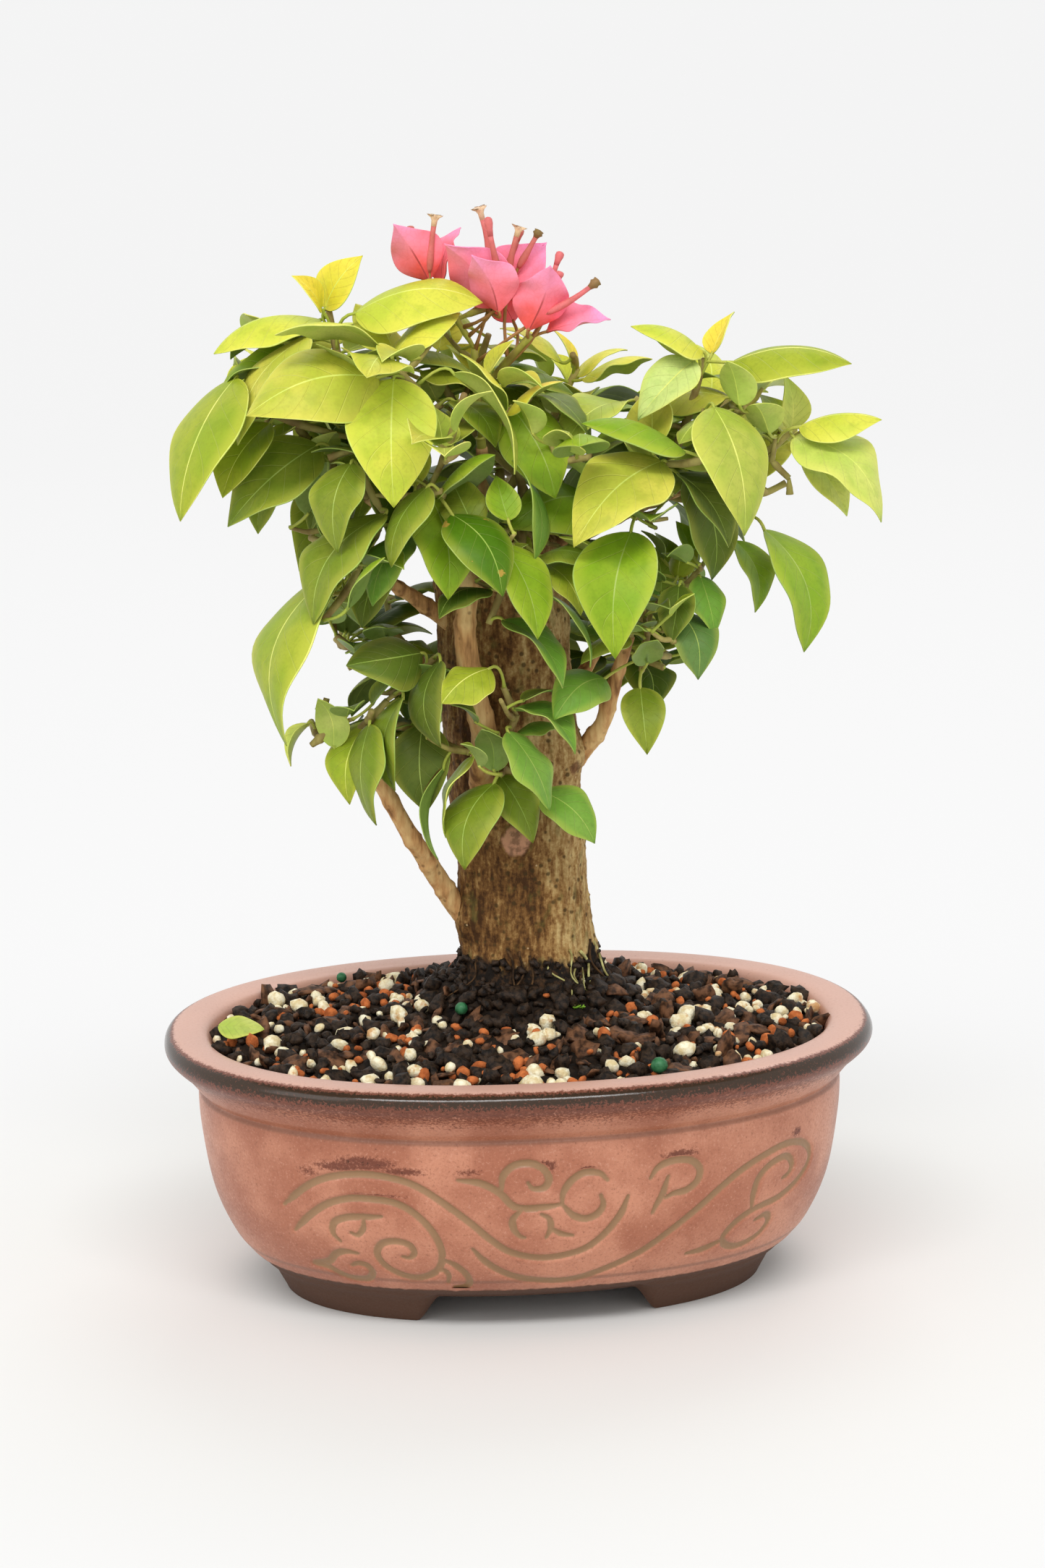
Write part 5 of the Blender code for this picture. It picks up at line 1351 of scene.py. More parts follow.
class Finish:
    """A material, with short ways to add nodes to it. Sizes are in millimetres."""

    def __init__(self, name, colour, roughness, specular=0.5):
        self.material = bpy.data.materials.new(name)
        self.material.use_nodes = True
        self.tree = self.material.node_tree
        self.shader = self.tree.nodes["Principled BSDF"]
        self.shader.inputs["Base Color"].default_value = (*colour, 1)
        self.shader.inputs["Roughness"].default_value = roughness
        self.shader.inputs["Specular IOR Level"].default_value = specular
        self.spot = self.add("ShaderNodeTexCoord").outputs["Object"]

    def add(self, kind, values=(), **settings):
        made = self.tree.nodes.new(kind)
        for name, value in settings.items():
            setattr(made, name, value)
        for name, value in dict(values).items():
            if isinstance(value, bpy.types.NodeSocket):
                self.tree.links.new(value, made.inputs[name])
            else:
                made.inputs[name].default_value = value
        return made

    def set(self, name, value):
        self.tree.links.new(value, self.shader.inputs[name])

    def noise(self, size, stretch=(1, 1, 1), detail=3.0, roughness=0.55):
        """Soft noise whose features are about the given size, and longer where stretch is above 1."""
        scale = [1 / (size * MM * share) for share in stretch]
        moved = self.add("ShaderNodeMapping", {"Vector": self.spot, "Scale": scale})
        made = self.add("ShaderNodeTexNoise", {
            "Vector": moved.outputs[0], "Scale": 1.0, "Detail": detail, "Roughness": roughness})
        return made.outputs["Fac"]

    def cells(self, size, feature="F1"):
        """How far each place is from the nearest of many scattered points, or from their borders."""
        scale = 1 / (size * MM)
        made = self.add("ShaderNodeTexVoronoi", {"Vector": self.spot, "Scale": scale}, feature=feature)
        return made.outputs["Distance"]

    def sum(self, operation, *values):
        made = self.add("ShaderNodeMath", dict(enumerate(values)), operation=operation)
        return made.outputs[0]

    def range(self, value, low, high, start=0.0, stop=1.0):
        """Maps a value between low and high smoothly to one between start and stop."""
        made = self.add("ShaderNodeMapRange", {
            "Value": value, "From Min": low, "From Max": high, "To Min": start, "To Max": stop},
            interpolation_type="SMOOTHSTEP")
        return made.outputs[0]

    def ramp(self, value, *stops):
        made = self.add("ShaderNodeValToRGB", {"Fac": value})
        steps = made.color_ramp.elements
        while len(steps) < len(stops):
            steps.new(0.5)
        for step, (place, colour) in zip(steps, stops):
            step.position = place
            step.color = (*colour, 1)
        return made.outputs["Color"]

    def mix(self, share, low, high):
        """Mixes two colours, or sockets that give them."""
        made = self.add("ShaderNodeMix", data_type="RGBA")
        for index, value in ((0, share), (6, low), (7, high)):
            if isinstance(value, bpy.types.NodeSocket):
                self.tree.links.new(value, made.inputs[index])
            elif index:
                made.inputs[index].default_value = (*value, 1)
            else:
                made.inputs[index].default_value = value
        return made.outputs[2]

    def veil(self, below, colour, size, low, high, most, **noise):
        """Lays a colour over what is below it, where noise of that size is between low and high."""
        return self.mix(self.range(self.noise(size, **noise), low, high, 0.0, most), below, colour)

    def measure(self, axis):
        """How far along an axis each place is, in millimetres."""
        split = self.add("ShaderNodeSeparateXYZ", {0: self.spot})
        return self.sum("DIVIDE", split.outputs[axis], MM)

    def away(self, place):
        """How far each place is from a given one, in millimetres."""
        ends = {0: self.spot, 1: Vector(place) * MM}
        made = self.add("ShaderNodeVectorMath", ends, operation="DISTANCE")
        return self.sum("DIVIDE", made.outputs["Value"], MM)

    def pattern(self):
        """How far along a blade each place is, and how far aside of its midrib, from 0 to 0.5."""
        place = self.add("ShaderNodeUVMap", uv_map="pattern").outputs[0]
        split = self.add("ShaderNodeSeparateXYZ", {0: place})
        return split.outputs["X"], self.sum("ABSOLUTE", self.sum("SUBTRACT", split.outputs["Y"], 0.5))

    def bump(self, height, depth, strength=1.0):
        made = self.add("ShaderNodeBump", {
            "Height": height, "Distance": depth * MM, "Strength": strength})
        before = self.shader.inputs["Normal"].links
        if before:
            self.tree.links.new(before[0].from_socket, made.inputs["Normal"])
        self.set("Normal", made.outputs[0])


def shade(colour, share):
    """A colour made darker, or lighter where share is above 1."""
    return tuple(min(1.0, value * share) for value in colour)


def blend(colour, other, share):
    """A colour with a share of another one."""
    return tuple((1 - share) * value + share * more for value, more in zip(colour, other))


def leaf_material(name, colour, veins, blotched=False):
    """A satin blade, greener in places and warmer at its margin, with side veins that slant outward."""
    finish = Finish("leaf_" + name, colour, LEAF_ROUGHNESS, LEAF_SPECULAR)
    green = tuple(value * share for value, share in zip(colour, LEAF_GREENING))
    patch = finish.range(finish.noise(size=17, detail=2), low=0.38, high=0.62, start=0.8, stop=0.0)
    out = finish.mix(patch, colour, green)
    out = finish.veil(out, shade(green, 0.8), size=4, low=0.48, high=0.7, most=0.42)
    out = finish.veil(out, shade(colour, 0.62), size=0.8, low=0.42, high=0.75, most=0.34, detail=4)
    if veins:
        along, aside = finish.pattern()
        margin = finish.range(aside, low=0.3, high=0.5, start=0, stop=0.6)
        out = finish.mix(margin, out, blend(colour, MARGIN_COLOUR, 0.28))
        place = finish.sum("MULTIPLY", along, float(VEIN_PAIRS))
        place = finish.sum("MULTIPLY_ADD", aside, -VEIN_SLANT, place)
        line = finish.range(finish.sum("PINGPONG", place, 0.5), low=0.0, high=0.05, start=1.0, stop=0.0)
        out = finish.mix(finish.sum("MULTIPLY", line, 0.34), out, blend(colour, VEIN_COLOUR, 0.3))
        finish.bump(line, depth=-0.2, strength=0.6)
    if blotched:
        scar = finish.sum("MULTIPLY_ADD", finish.noise(size=1.5, detail=4), 0.5, finish.cells(size=7.5))
        out = finish.mix(finish.range(scar, low=0.36, high=0.4, start=0.9, stop=0.0), out, BLOTCH_COLOUR)
    finish.set("Base Color", out)
    finish.bump(finish.noise(size=6, detail=2), depth=0.7, strength=0.4)
    finish.bump(finish.noise(size=0.5, detail=2), depth=0.03, strength=0.35)
    return finish.material


def bract_material(name, rib):
    """A papery bract, or its darker midrib: dark coral at its foot and pinker towards its tip."""
    finish = Finish(name, BRACT_COLOUR, roughness=0.6, specular=0.15)
    near = finish.away(BRACT_HEARTS[0])
    for heart in BRACT_HEARTS[1:]:
        near = finish.sum("MINIMUM", near, finish.away(heart))
    uneven = finish.sum("SUBTRACT", finish.noise(size=6), 0.5)
    place = finish.sum("MULTIPLY_ADD", uneven, 0.5, finish.sum("DIVIDE", near, BRACT_REACH))
    border = finish.cells(size=1.7, feature="DISTANCE_TO_EDGE")
    net = finish.range(border, low=0.0, high=0.12, start=0.13, stop=0.0)
    out = finish.mix(net, finish.ramp(place, *BRACT_RAMP), BRACT_NET)
    if rib:
        out = finish.mix(finish.range(place, low=0.3, high=0.75, start=0.8, stop=0.0), out, BRACT_RIB)
    finish.set("Base Color", out)
    finish.bump(finish.noise(size=2.0), depth=0.3, strength=0.5)
    return finish.material


def soft_material(name):
    """A rough surface between two colours, with noise of one size in its colour and relief."""
    dark, light, size, roughness, *rest = SOFT_FINISHES[name]
    depth, stretch, stained = rest + SOFT_DEFAULTS[len(rest):]
    finish = Finish(name, light, roughness, specular=0.2)
    out = finish.veil(dark, light, size, low=0.32, high=0.68, most=1.0, stretch=stretch)
    if stained:
        out = finish.veil(out, stained, size * 1.9, low=0.56, high=0.68, most=0.8, detail=4)
    finish.set("Base Color", out)
    finish.bump(finish.noise(size * 0.3, stretch), depth, strength=0.7)
    finish.bump(finish.noise(size=0.6, detail=2), depth * 0.5, strength=0.5)
    return finish.material


def bark_material():
    """The boughs' bark, with streaks along it and dark warts."""
    finish = Finish("bough_bark", BOUGH_RAMP[1][1], roughness=0.78, specular=0.3)
    streak = finish.noise(size=2.2, stretch=(1, 1, 6), detail=4)
    patch = finish.noise(size=11, stretch=(1, 1, 1.6), detail=2)
    value = finish.sum("MULTIPLY_ADD", finish.sum("SUBTRACT", patch, 0.5), 0.9, streak)
    colour = finish.ramp(value, *BOUGH_RAMP)
    wart = finish.range(finish.cells(size=3.4), low=0.1, high=0.24, start=1.0, stop=0.0)
    colour = finish.mix(finish.sum("MULTIPLY", wart, 0.6), colour, shade(BOUGH_RAMP[0][1], 0.6))
    finish.set("Base Color", colour)
    finish.bump(streak, depth=0.5, strength=0.8)
    finish.bump(finish.noise(size=0.7, stretch=(1, 1, 3), detail=3), depth=0.2, strength=0.7)
    return finish.material


def trunk_material():
    """The trunk's bark: finely streaked, painted paler on the right and darker on the left as painted
    light, darker round a place low on its front, with moss, warts, flecks, pruning scars and a black
    foot."""
    finish = Finish("trunk_bark", BARK["mean"], roughness=0.8, specular=0.2)
    streak = finish.noise(size=1.4, stretch=(1, 1, 4.0), detail=4)
    patch = finish.sum("SUBTRACT", finish.noise(size=12, stretch=(1, 1, 1.5), detail=3), 0.5)
    rough = finish.sum("SUBTRACT", finish.noise(size=1.1, detail=5, roughness=0.7), 0.5)
    value = finish.sum("MULTIPLY_ADD", rough, 0.7, finish.sum("MULTIPLY_ADD", patch, 0.9, streak))
    # painted light: the bark is lighter on the right and darker on the left, as if lit from the right
    pale = finish.range(finish.measure("X"), *PAINTED_LIGHT_SIDE, start=-0.04, stop=0.17)
    # darker round a place low on the trunk's front, near its foot
    dark_patch = finish.range(finish.away(TRUNK_DARK_PLACE), *DARK_PLACE_REACH, start=-0.13, stop=0)
    value = finish.sum("ADD", finish.sum("ADD", value, pale), dark_patch)
    out = finish.ramp(value, *BARK_RAMP)
    out = finish.veil(out, BARK["moss"], size=4.5, low=0.55, high=0.7, most=0.55,
                      stretch=(1, 1, 1.6), detail=4)
    wart = finish.range(finish.cells(size=3.0), low=0.14, high=0.30, start=0.8, stop=0.0)
    fleck = finish.range(finish.cells(size=4.7), low=0.03, high=0.08, start=0.8, stop=0.0)
    out = finish.mix(fleck, finish.mix(wart, out, BARK["wart"]), BARK["fleck"])
    low, high = SCAR_MARGIN
    for place, reach, colour in TRUNK_SCARS:
        ragged = finish.sum("MULTIPLY_ADD", finish.noise(size=2.2, detail=4), 3.0, finish.away(place))
        scar = finish.veil(shade(colour, 0.5), colour, size=1.8, low=0.38, high=0.6, most=1.0, detail=4)
        inside = finish.range(ragged, reach + low, reach + high, start=0.9, stop=0)
        out = finish.mix(inside, out, scar)
    uneven = finish.noise(size=6, stretch=(1, 1, 1.4), detail=4)
    ragged = finish.sum("MULTIPLY_ADD", uneven, 22.0, finish.measure("Z"))
    dark_patch = finish.veil(BARK["wet"], BARK["soaked"], size=1.6, low=0.45, high=0.7, most=1.0)
    out = finish.mix(finish.range(ragged, *WET_BORDER, start=1, stop=0), out, dark_patch)
    finish.set("Base Color", out)
    finish.bump(streak, depth=0.4, strength=0.7)
    finish.bump(finish.noise(size=0.6, stretch=(1, 1, 2), detail=3), depth=0.2, strength=0.7)
    return finish.material


def glaze_material():
    """Speckled pinkish glaze that breaks dark and glossy round the rim, over bare dark clay at the
    foot. The wall's grooves are above 0 in the mesh's spots, and its dark places below."""
    finish = Finish("glaze", GLAZE["mean"], roughness=0.34, specular=0.5)
    broad = finish.noise(size=24)
    fine = finish.noise(size=0.8, detail=4, roughness=0.75)
    grain = finish.sum("SUBTRACT", fine, 0.5)
    body = finish.mix(finish.range(broad, low=0.35, high=0.65), GLAZE["deep"], GLAZE["light"])
    body = finish.mix(finish.range(fine, low=0.5, high=0.7, start=0, stop=0.5), body, GLAZE["speck"])
    body = finish.mix(finish.range(fine, low=0.3, high=0.46, start=0.35, stop=0), body, GLAZE["fleck"])
    height = finish.measure("Z")
    body = finish.mix(finish.range(height, *PALE_BAND, start=0, stop=0.85), body, GLAZE["top"])
    for level in GLAZE_LINES:
        line = finish.sum("ABSOLUTE", finish.sum("SUBTRACT", height, level))
        body = finish.mix(finish.range(line, *LINE_WIDTH, start=0.55, stop=0), body, GLAZE["line"])
    spots = finish.add("ShaderNodeAttribute", attribute_name="spots").outputs["Fac"]
    groove = finish.sum("MULTIPLY_ADD", grain, 0.3, spots)
    groove = finish.range(groove, low=0.25, high=0.8, start=0, stop=0.85)
    body = finish.mix(groove, body, GLAZE["groove"])
    dark = finish.sum("MULTIPLY_ADD", grain, 1.7, finish.sum("MULTIPLY", spots, -1.0))
    body = finish.mix(finish.range(dark, low=0.16, high=0.6, start=0, stop=0.92), body, GLAZE["broken"])
    gloss = finish.range(dark, low=0.72, high=1.0)
    body = finish.mix(gloss, body, GLAZE["black"])
    uneven = finish.sum("SUBTRACT", finish.noise(size=2.5, detail=5), 0.5)
    border = finish.sum("MULTIPLY_ADD", uneven, 1.6, height)
    clay = finish.range(border, *CLAY_BORDER, start=1, stop=0)
    finish.set("Base Color", finish.mix(clay, body, GLAZE["clay"]))
    dull = finish.range(fine, low=0.3, high=0.7, start=0.3, stop=0.46)
    rough = finish.sum("MULTIPLY_ADD", gloss, -0.26, dull)
    finish.set("Roughness", finish.sum("MULTIPLY_ADD", clay, 0.4, rough))
    finish.bump(broad, depth=0.35, strength=0.35)
    finish.bump(fine, depth=0.06, strength=0.4)
    return finish.material


def noise_at(places, size, stretch=1.0, seed=0.0):
    """Noise from -1 to 1 at each place, with features of about the given size."""
    scale = Vector((1 / size, 1 / size, 1 / (size * stretch)))
    shift = Vector([share * seed for share in NOISE_SHIFT])
    return np.array([noise.noise(Vector(place) * scale + shift) for place in places])


def angles_round(count):
    """Angles of a full turn, in radians."""
    return 2 * np.pi * np.arange(count) / count


def run_along(line):
    """How far along a line each of its places is."""
    return np.concatenate([[0], np.cumsum(np.linalg.norm(np.diff(line, axis=0), axis=1))])


def arc_place(across):
    """How far along the front wall a place is, for how far across it is: the wall curves back."""
    line = oval_ring(ENGRAVED_INSET, ENGRAVED_Z, np.linspace(-np.pi, 0, ENGRAVED_SAMPLES))
    run = run_along(line)
    return np.interp(across, line[:, 0], run - run[-1] / 2)


def oval_ring(inset, height, angles):
    """The pot's section at a height, a given distance in from its widest oval."""
    power = 2 / POT_SQUARENESS
    across = np.sign(np.cos(angles)) * np.abs(np.cos(angles)) ** power
    deep = np.sign(np.sin(angles)) * np.abs(np.sin(angles)) ** power
    return np.stack([(POT_HALF_WIDTH - inset) * across, (POT_HALF_DEPTH - inset) * deep,
                     np.full(len(angles), float(height))], -1)


def even_angles(count):
    """Angles round the oval that are equally far apart along it."""
    sample = np.linspace(0, 2 * np.pi, EVEN_SAMPLES * count + 1)
    run = run_along(oval_ring(EVEN_INSET, 0.0, sample))
    return np.interp(np.arange(count) * run[-1] / count, run, sample)


def profile(rows, per_leg):
    """More rows along a profile of heights and insets."""
    path = smooth_path([(inset, height, 0) for height, inset in rows], per_leg)
    return [(place.y, place.x) for place in path]


def groove_depths(rings):
    """How deep the scroll is at each place of the wall, from 0 to 1, and the same with the stained
    places below 0."""
    samples = []
    widths = []
    for groove in GROOVES:
        line = smooth_path([(arc_place(across), height, 0) for across, height in groove], GROOVE_STEPS)
        ends = [min((place - line[0]).length, (place - line[-1]).length) for place in line]
        widths += [GROOVE_HALF * (0.5 + 0.5 * min(1.0, end / GROOVE_TAPER)) for end in ends]
        samples += line
    tree = KDTree(len(samples))
    for index, place in enumerate(samples):
        tree.insert(place, index)
    tree.balance()
    front = rings[0][:, 1] <= 0
    across = rings[0][:, 0] * np.where(front, 1, -1)
    across *= (POT_HALF_WIDTH - ENGRAVED_INSET) / np.abs(rings[0][:, 0]).max()
    along = arc_place(across)
    depths = np.zeros(rings.shape[:2])
    for row, ring in enumerate(rings):
        for column, place in enumerate(along):
            near, index, away = tree.find((place, ring[column, 2], 0))
            depths[row, column] = (widths[index] + GROOVE_SOFT / 2 - away) / GROOVE_SOFT
    depths = np.clip(depths, 0, 1)
    depths *= depths * (3 - 2 * depths)
    stained = np.zeros(depths.shape)
    for x, z, long, high, deep in STAINS:
        apart = ((along - arc_place(x))[None, :] / long) ** 2 + ((rings[:, :, 2] - z) / high) ** 2
        stain = np.minimum(STAIN_MOST, STAIN_STRENGTH * deep * np.exp(-apart))
        stained = np.maximum(stained, stain)
    return depths, np.where((stained > STAIN_LEAST) & (depths < STAIN_COVER), -stained, depths)


def lift_arch(ring, top):
    """Raises the foot's places over the arch in the front and back of the foot."""
    share = (ARCH_FOOT_HALF - np.abs(ring[:, 0])) / (ARCH_FOOT_HALF - ARCH_TOP_HALF)
    rise = ARCH_HEIGHT * np.clip(share, 0, 1)
    rise *= rise * (3 - 2 * rise / ARCH_HEIGHT) / ARCH_HEIGHT
    ring[:, 2] = np.where(ring[:, 2] < top, rise + ring[:, 2] * (1 - rise / top), ring[:, 2])


def floor_faces(ring, height):
    """Fills a level floor inside a ring, round the drain holes, whose rims come last."""
    edit = bmesh.new()
    edges = []
    for loop in [ring] + [drain_ring(place, height) for place in DRAIN_PLACES]:
        corners = [edit.verts.new(place) for place in loop]
        edges += [edit.edges.new((corner, corners[(index + 1) % len(corners)]))
                  for index, corner in enumerate(corners)]
    bmesh.ops.triangle_fill(edit, edges=edges, use_beauty=True, use_dissolve=False)
    edit.verts.index_update()
    faces = np.array([[corner.index for corner in face.verts] for face in edit.faces])
    upward = [face.normal.z for face in edit.faces]
    faces = np.array([face if up > 0 else face[::-1] for face, up in zip(faces, upward)])
    places = np.array([tuple(corner.co) for corner in edit.verts])
    edit.free()
    return places, faces


def drain_ring(place, height):
    angles = angles_round(DRAIN_SIDES)
    return np.stack([place + DRAIN_RADIUS * np.cos(angles), DRAIN_RADIUS * np.sin(angles),
                     np.full(DRAIN_SIDES, float(height))], -1)


def make_pot(glaze):
    """The engraved wall as one piece, and the rim, inside, foot and drain holes as another."""
    angles = even_angles(POT_SEGMENTS)
    wall = profile(POT_WALL, POT_WALL_STEPS)
    heights = np.linspace(wall[0][0], wall[-1][0], POT_WALL_ROWS + 1)
    insets = np.interp(heights, [row[0] for row in wall], [row[1] for row in wall])
    rings = np.array([oval_ring(inset, height, angles) for height, inset in zip(heights, insets)])
    depths, spots = groove_depths(rings)
    away = rings.copy()
    away[:, :, 2] = 0
    away /= np.linalg.norm(away, axis=2)[:, :, None]
    rings -= away * (depths * GROOVE_DEPTH)[:, :, None]
    heap = Heap()
    heap.add(rings, grid_faces(len(rings), POT_SEGMENTS, True), 0)
    heap.piece("pot_wall", ["pot"], [glaze], spots=spots.ravel())
    heap = Heap()
    foot = [oval_ring(inset, height, angles) for height, inset in profile(POT_FOOT, POT_FOOT_STEPS)]
    base = foot[0][0, 2]
    for index, ring in enumerate(foot):
        lift_arch(ring, base if index < ARCH_INSIDE_ROWS else ARCH_OUTSIDE_TOP)
    rim = [oval_ring(inset, height, angles) for height, inset in profile(POT_RIM, POT_RIM_STEPS)]
    inside = [oval_ring(inset, height, angles) for height, inset in POT_INSIDE[1:]]
    floor = inside[-1][0, 2]
    for rings in (foot, rim + inside):
        heap.add(rings, grid_faces(len(rings), POT_SEGMENTS, True), 0)
    for ring, height, upward in ((foot[0], foot[0][0, 2], False), (inside[-1], floor, True)):
        places, faces = floor_faces(ring, height)
        heap.add(places, faces if upward else faces[:, ::-1], 0)
    for place in DRAIN_PLACES:
        rings = [drain_ring(place, height) for height in (foot[0][0, 2], DRAIN_MIDDLE_Z, floor)]
        heap.add(rings, grid_faces(len(rings), DRAIN_SIDES, True)[:, ::-1], 0)
    spots = np.zeros(heap.count)
    levels, shares = zip(*DARK_BAND)
    top = int(np.argmax([ring[0, 2] for ring in rim]))
    for row, ring in enumerate(rim[:top]):
        first = (len(foot) + row) * POT_SEGMENTS
        spots[first:first + POT_SEGMENTS] = -np.interp(ring[0, 2], levels, shares, left=0)
    heap.piece("pot_rim_and_foot", ["pot"], [glaze], spots=spots)


def soil_height(place, share):
    """How high the mound is at a place, a share of the way up it, with its clods."""
    swing, length = SOIL_CLOD_WANDER
    across = 2 * math.pi * place[0] / SOIL_CLOD_SPACING + swing * math.sin(place[1] / length)
    deep = 2 * math.pi * place[1] / SOIL_CLOD_SPACING + swing * math.sin(place[0] / length)
    clod = SOIL_CLOD_HEIGHT / 2 * math.sin(across) * math.sin(deep)
    clod *= min(1.0, SOIL_CLOD_FADE * (1 - share))
    return SOIL_EDGE_Z + (SOIL_TOP - SOIL_EDGE_Z) * math.sin(share * math.pi / 2) + clod


def soil_place(angle, share):
    """A place on the soil, on the way from the pot's wall to the trunk's seat and past it."""
    edge = oval_ring(SOIL_EDGE_INSET, 0, np.array([angle]))[0]
    middle = np.array((TRUNK_SECTIONS[0][1], TRUNK_Y, 0.0))
    seat = middle + (edge - middle) / np.linalg.norm(edge - middle) * SOIL_SEAT_RADIUS
    if share <= 1:
        place = edge + (seat - edge) * share
        place[2] = soil_height(place, share)
    else:
        place = seat + (middle - seat) * (share - 1)
        rise = min(1.0, (share - 1) / SOIL_HEAP_RISE)
        place[2] = SOIL_TOP + SOIL_HEAP * math.sin(rise * math.pi / 2)
    return place


def rocks(count, roughness):
    """A few stone shapes, as icospheres pushed in and out by noise, and the faces that they share."""
    shapes = []
    for index in range(count):
        edit = bmesh.new()
        bmesh.ops.create_icosphere(edit, subdivisions=2, radius=1.0)
        for corner in edit.verts:
            way = corner.co.normalized()
            push = sum(strength * noise.noise(way * scale + Vector([index * value for value in shift]))
                       for scale, shift, strength in ROCK_RELIEF)
            corner.co = way * (1 + roughness * push)
        edit.verts.index_update()
        shapes.append(np.array([tuple(corner.co) for corner in edit.verts]))
        faces = np.array([[corner.index for corner in face.verts] for face in edit.faces])
        edit.free()
    return shapes, faces


def make_soil():
    """The bed, the loose grains of each kind, the beads, and the litter on it."""
    rng = random.Random(SOIL_SEED)
    make_bed()
    spots = grain_spots(rng)
    for name, (_, _, flatness, roughness, rounded) in GRAIN_KINDS.items():
        shapes, faces = rocks(GRAIN_SHAPES, roughness)
        heap = Heap()
        for kind, place, size in spots:
            if kind != name:
                continue
            axis = rng.uniform(0, ANY_TURN), Vector((rng.uniform(-1, 1), rng.uniform(-1, 1), 1))
            turned = Matrix.Rotation(axis[0], 3, axis[1])
            flat = (1.0, rng.uniform(*GRAIN_BREADTH), rng.uniform(*flatness))
            stone = rng.choice(shapes) * np.array(flat) * size @ np.array(turned)
            heap.add(stone + place + np.array((0, 0, size * rng.uniform(*GRAIN_SINK))), faces, 0)
        heap.piece("soil_" + name, ["soil"], [soft_material("soil_" + name)], rounded)
    heap = Heap()
    shapes, faces = rocks(1, 0.0)
    for x, y, z, radius in BEADS:
        heap.add(shapes[0] * radius + np.array((x, y, z)), faces, 0)
    heap.piece("soil_beads", ["soil"], [soft_material("soil_bead")])
    make_litter(rng)


def make_bed():
    """The fine surface between the grains, with a skirt down the pot's wall."""
    shares = np.linspace(0, SOIL_BED_REACH, SOIL_ROWS)
    places = np.array([[soil_place(angle, share) for angle in angles_round(SOIL_SIDES)]
                       for share in shares])
    rise = sum(noise_at(places.reshape(-1, 3), size, seed=seed) * height
               for size, height, seed in SOIL_BED_RELIEF).reshape(places.shape[:2])
    rise *= np.minimum(1, np.arange(SOIL_ROWS) / SOIL_BED_EDGE)[:, None]
    places[:, :, 2] += rise - SOIL_BED_DROP
    skirt = places[0].copy()
    skirt[:, 2] = SOIL_SKIRT_Z
    heap = Heap()
    heap.add([skirt] + list(places), grid_faces(SOIL_ROWS + 1, SOIL_SIDES, True), 0)
    heap.piece("soil_bed", ["soil"], [soft_material("soil_bed")])


def grain_spots(rng):
    """The kind, place and half length of each loose grain and of each clod on the trunk's foot."""
    spots = []
    squares = {}
    limits = list(accumulate(row[0] for row in GRAIN_KINDS.values()))
    for _ in range(GRAINS * GRAIN_TRIES):
        if len(spots) == GRAINS:
            break
        share = rng.uniform(0, GRAIN_REACH)
        inward, higher = GRAIN_THINNING
        if rng.random() > 1 - inward * min(1.0, share) - higher * max(0.0, share - 1):
            continue
        draw = rng.random()
        name = next(name for name, limit in zip(GRAIN_KINDS, limits) if draw <= limit)
        if share > DARK_ZONE and name != "dark" and rng.random() < DARK_ZONE_SHARE:
            name = "dark"
        size = rng.uniform(*GRAIN_KINDS[name][1])
        place = soil_place(rng.uniform(0, 2 * math.pi), share)
        x, y = (int(value // GRAIN_SQUARE) for value in place[:2])
        near = [other for dx in (-1, 0, 1) for dy in (-1, 0, 1)
                for other in squares.get((x + dx, y + dy), ())]
        if any(math.hypot(place[0] - other[0], place[1] - other[1]) < GRAIN_SPACING * (size + other[2])
               for other in near):
            continue
        squares.setdefault((x, y), []).append((place[0], place[1], size))
        spots.append((name, place, size))
    for _ in range(CLODS):
        angle = rng.uniform(0, 2 * math.pi)
        height = SOIL_TOP + CLOD_HEIGHTS[0] + CLOD_HEIGHTS[1] * rng.random() ** CLOD_CROWDING
        place = np.array(trunk_place(angle, height, CLOD_LIFT))
        spots.append(("dark", place, rng.uniform(*CLOD_SIZES)))
    return spots


def make_litter(rng):
    """The fallen leaf and the seedlings."""
    heap = Heap()
    foot, heading, pitch, turn, length = FALLEN_LEAF
    blade = (blade_frame(heading, pitch, turn), length, BLADE_BREADTH, LITTER_ARCH, LITTER_FOLD)
    add_sheet(heap, foot, blade, LEAF_ROWS, LITTER_SHAPE, (0, 0, 0), rng)
    down, radius, sides = SEEDLING_STEM
    for place in SEEDLINGS:
        for heading in SEEDLING_LEAVES:
            turned = blade_frame(heading + place[0] * SEEDLING_TURN, SEEDLING_PITCH, 0)
            blade = (turned, SEEDLING_LENGTH, BLADE_BREADTH, LITTER_ARCH, LITTER_FOLD)
            add_sheet(heap, Vector(place), blade, SEEDLING_ROWS, LITTER_SHAPE, (1, 1, 1), rng)
        heap.pipe([Vector(place) - UP * down, place], (radius, radius), sides, 1)
    heap.piece("soil_litter", ["soil"], [
        leaf_material("fallen", FALLEN_COLOUR, True), leaf_material("seedling", SEEDLING_COLOUR, False)])


def bark_surface(places):
    """How far the bark stands out at each place, from its relief and warts."""
    out = np.zeros(len(places))
    for index, (size, length, depth) in enumerate(BARK_RELIEF):
        out += noise_at(places, size, length / size, seed=index * BARK_SEED_STEP) * depth * BARK_GAIN
    for index, place in enumerate(places):
        near = noise.voronoi(Vector(place) / WART_SPACING)[0][0]
        out[index] += WART_HEIGHT * max(0.0, 1 - near / WART_SHARE) ** WART_STEEPNESS
    return out


def trunk_section(height):
    """The trunk's middle in X and its radius at a height, or at each of several."""
    levels, middles, radii = zip(*TRUNK_SECTIONS)
    return np.interp(height, levels, middles), np.interp(height, levels, radii)


def trunk_place(angle, height, lift):
    """A place on the trunk's bark, or lifted off it."""
    middle, radius = trunk_section(height)
    out = trunk_out(angle, height, radius) + lift
    return (middle + out * math.cos(angle), TRUNK_Y + out * math.sin(angle), height)


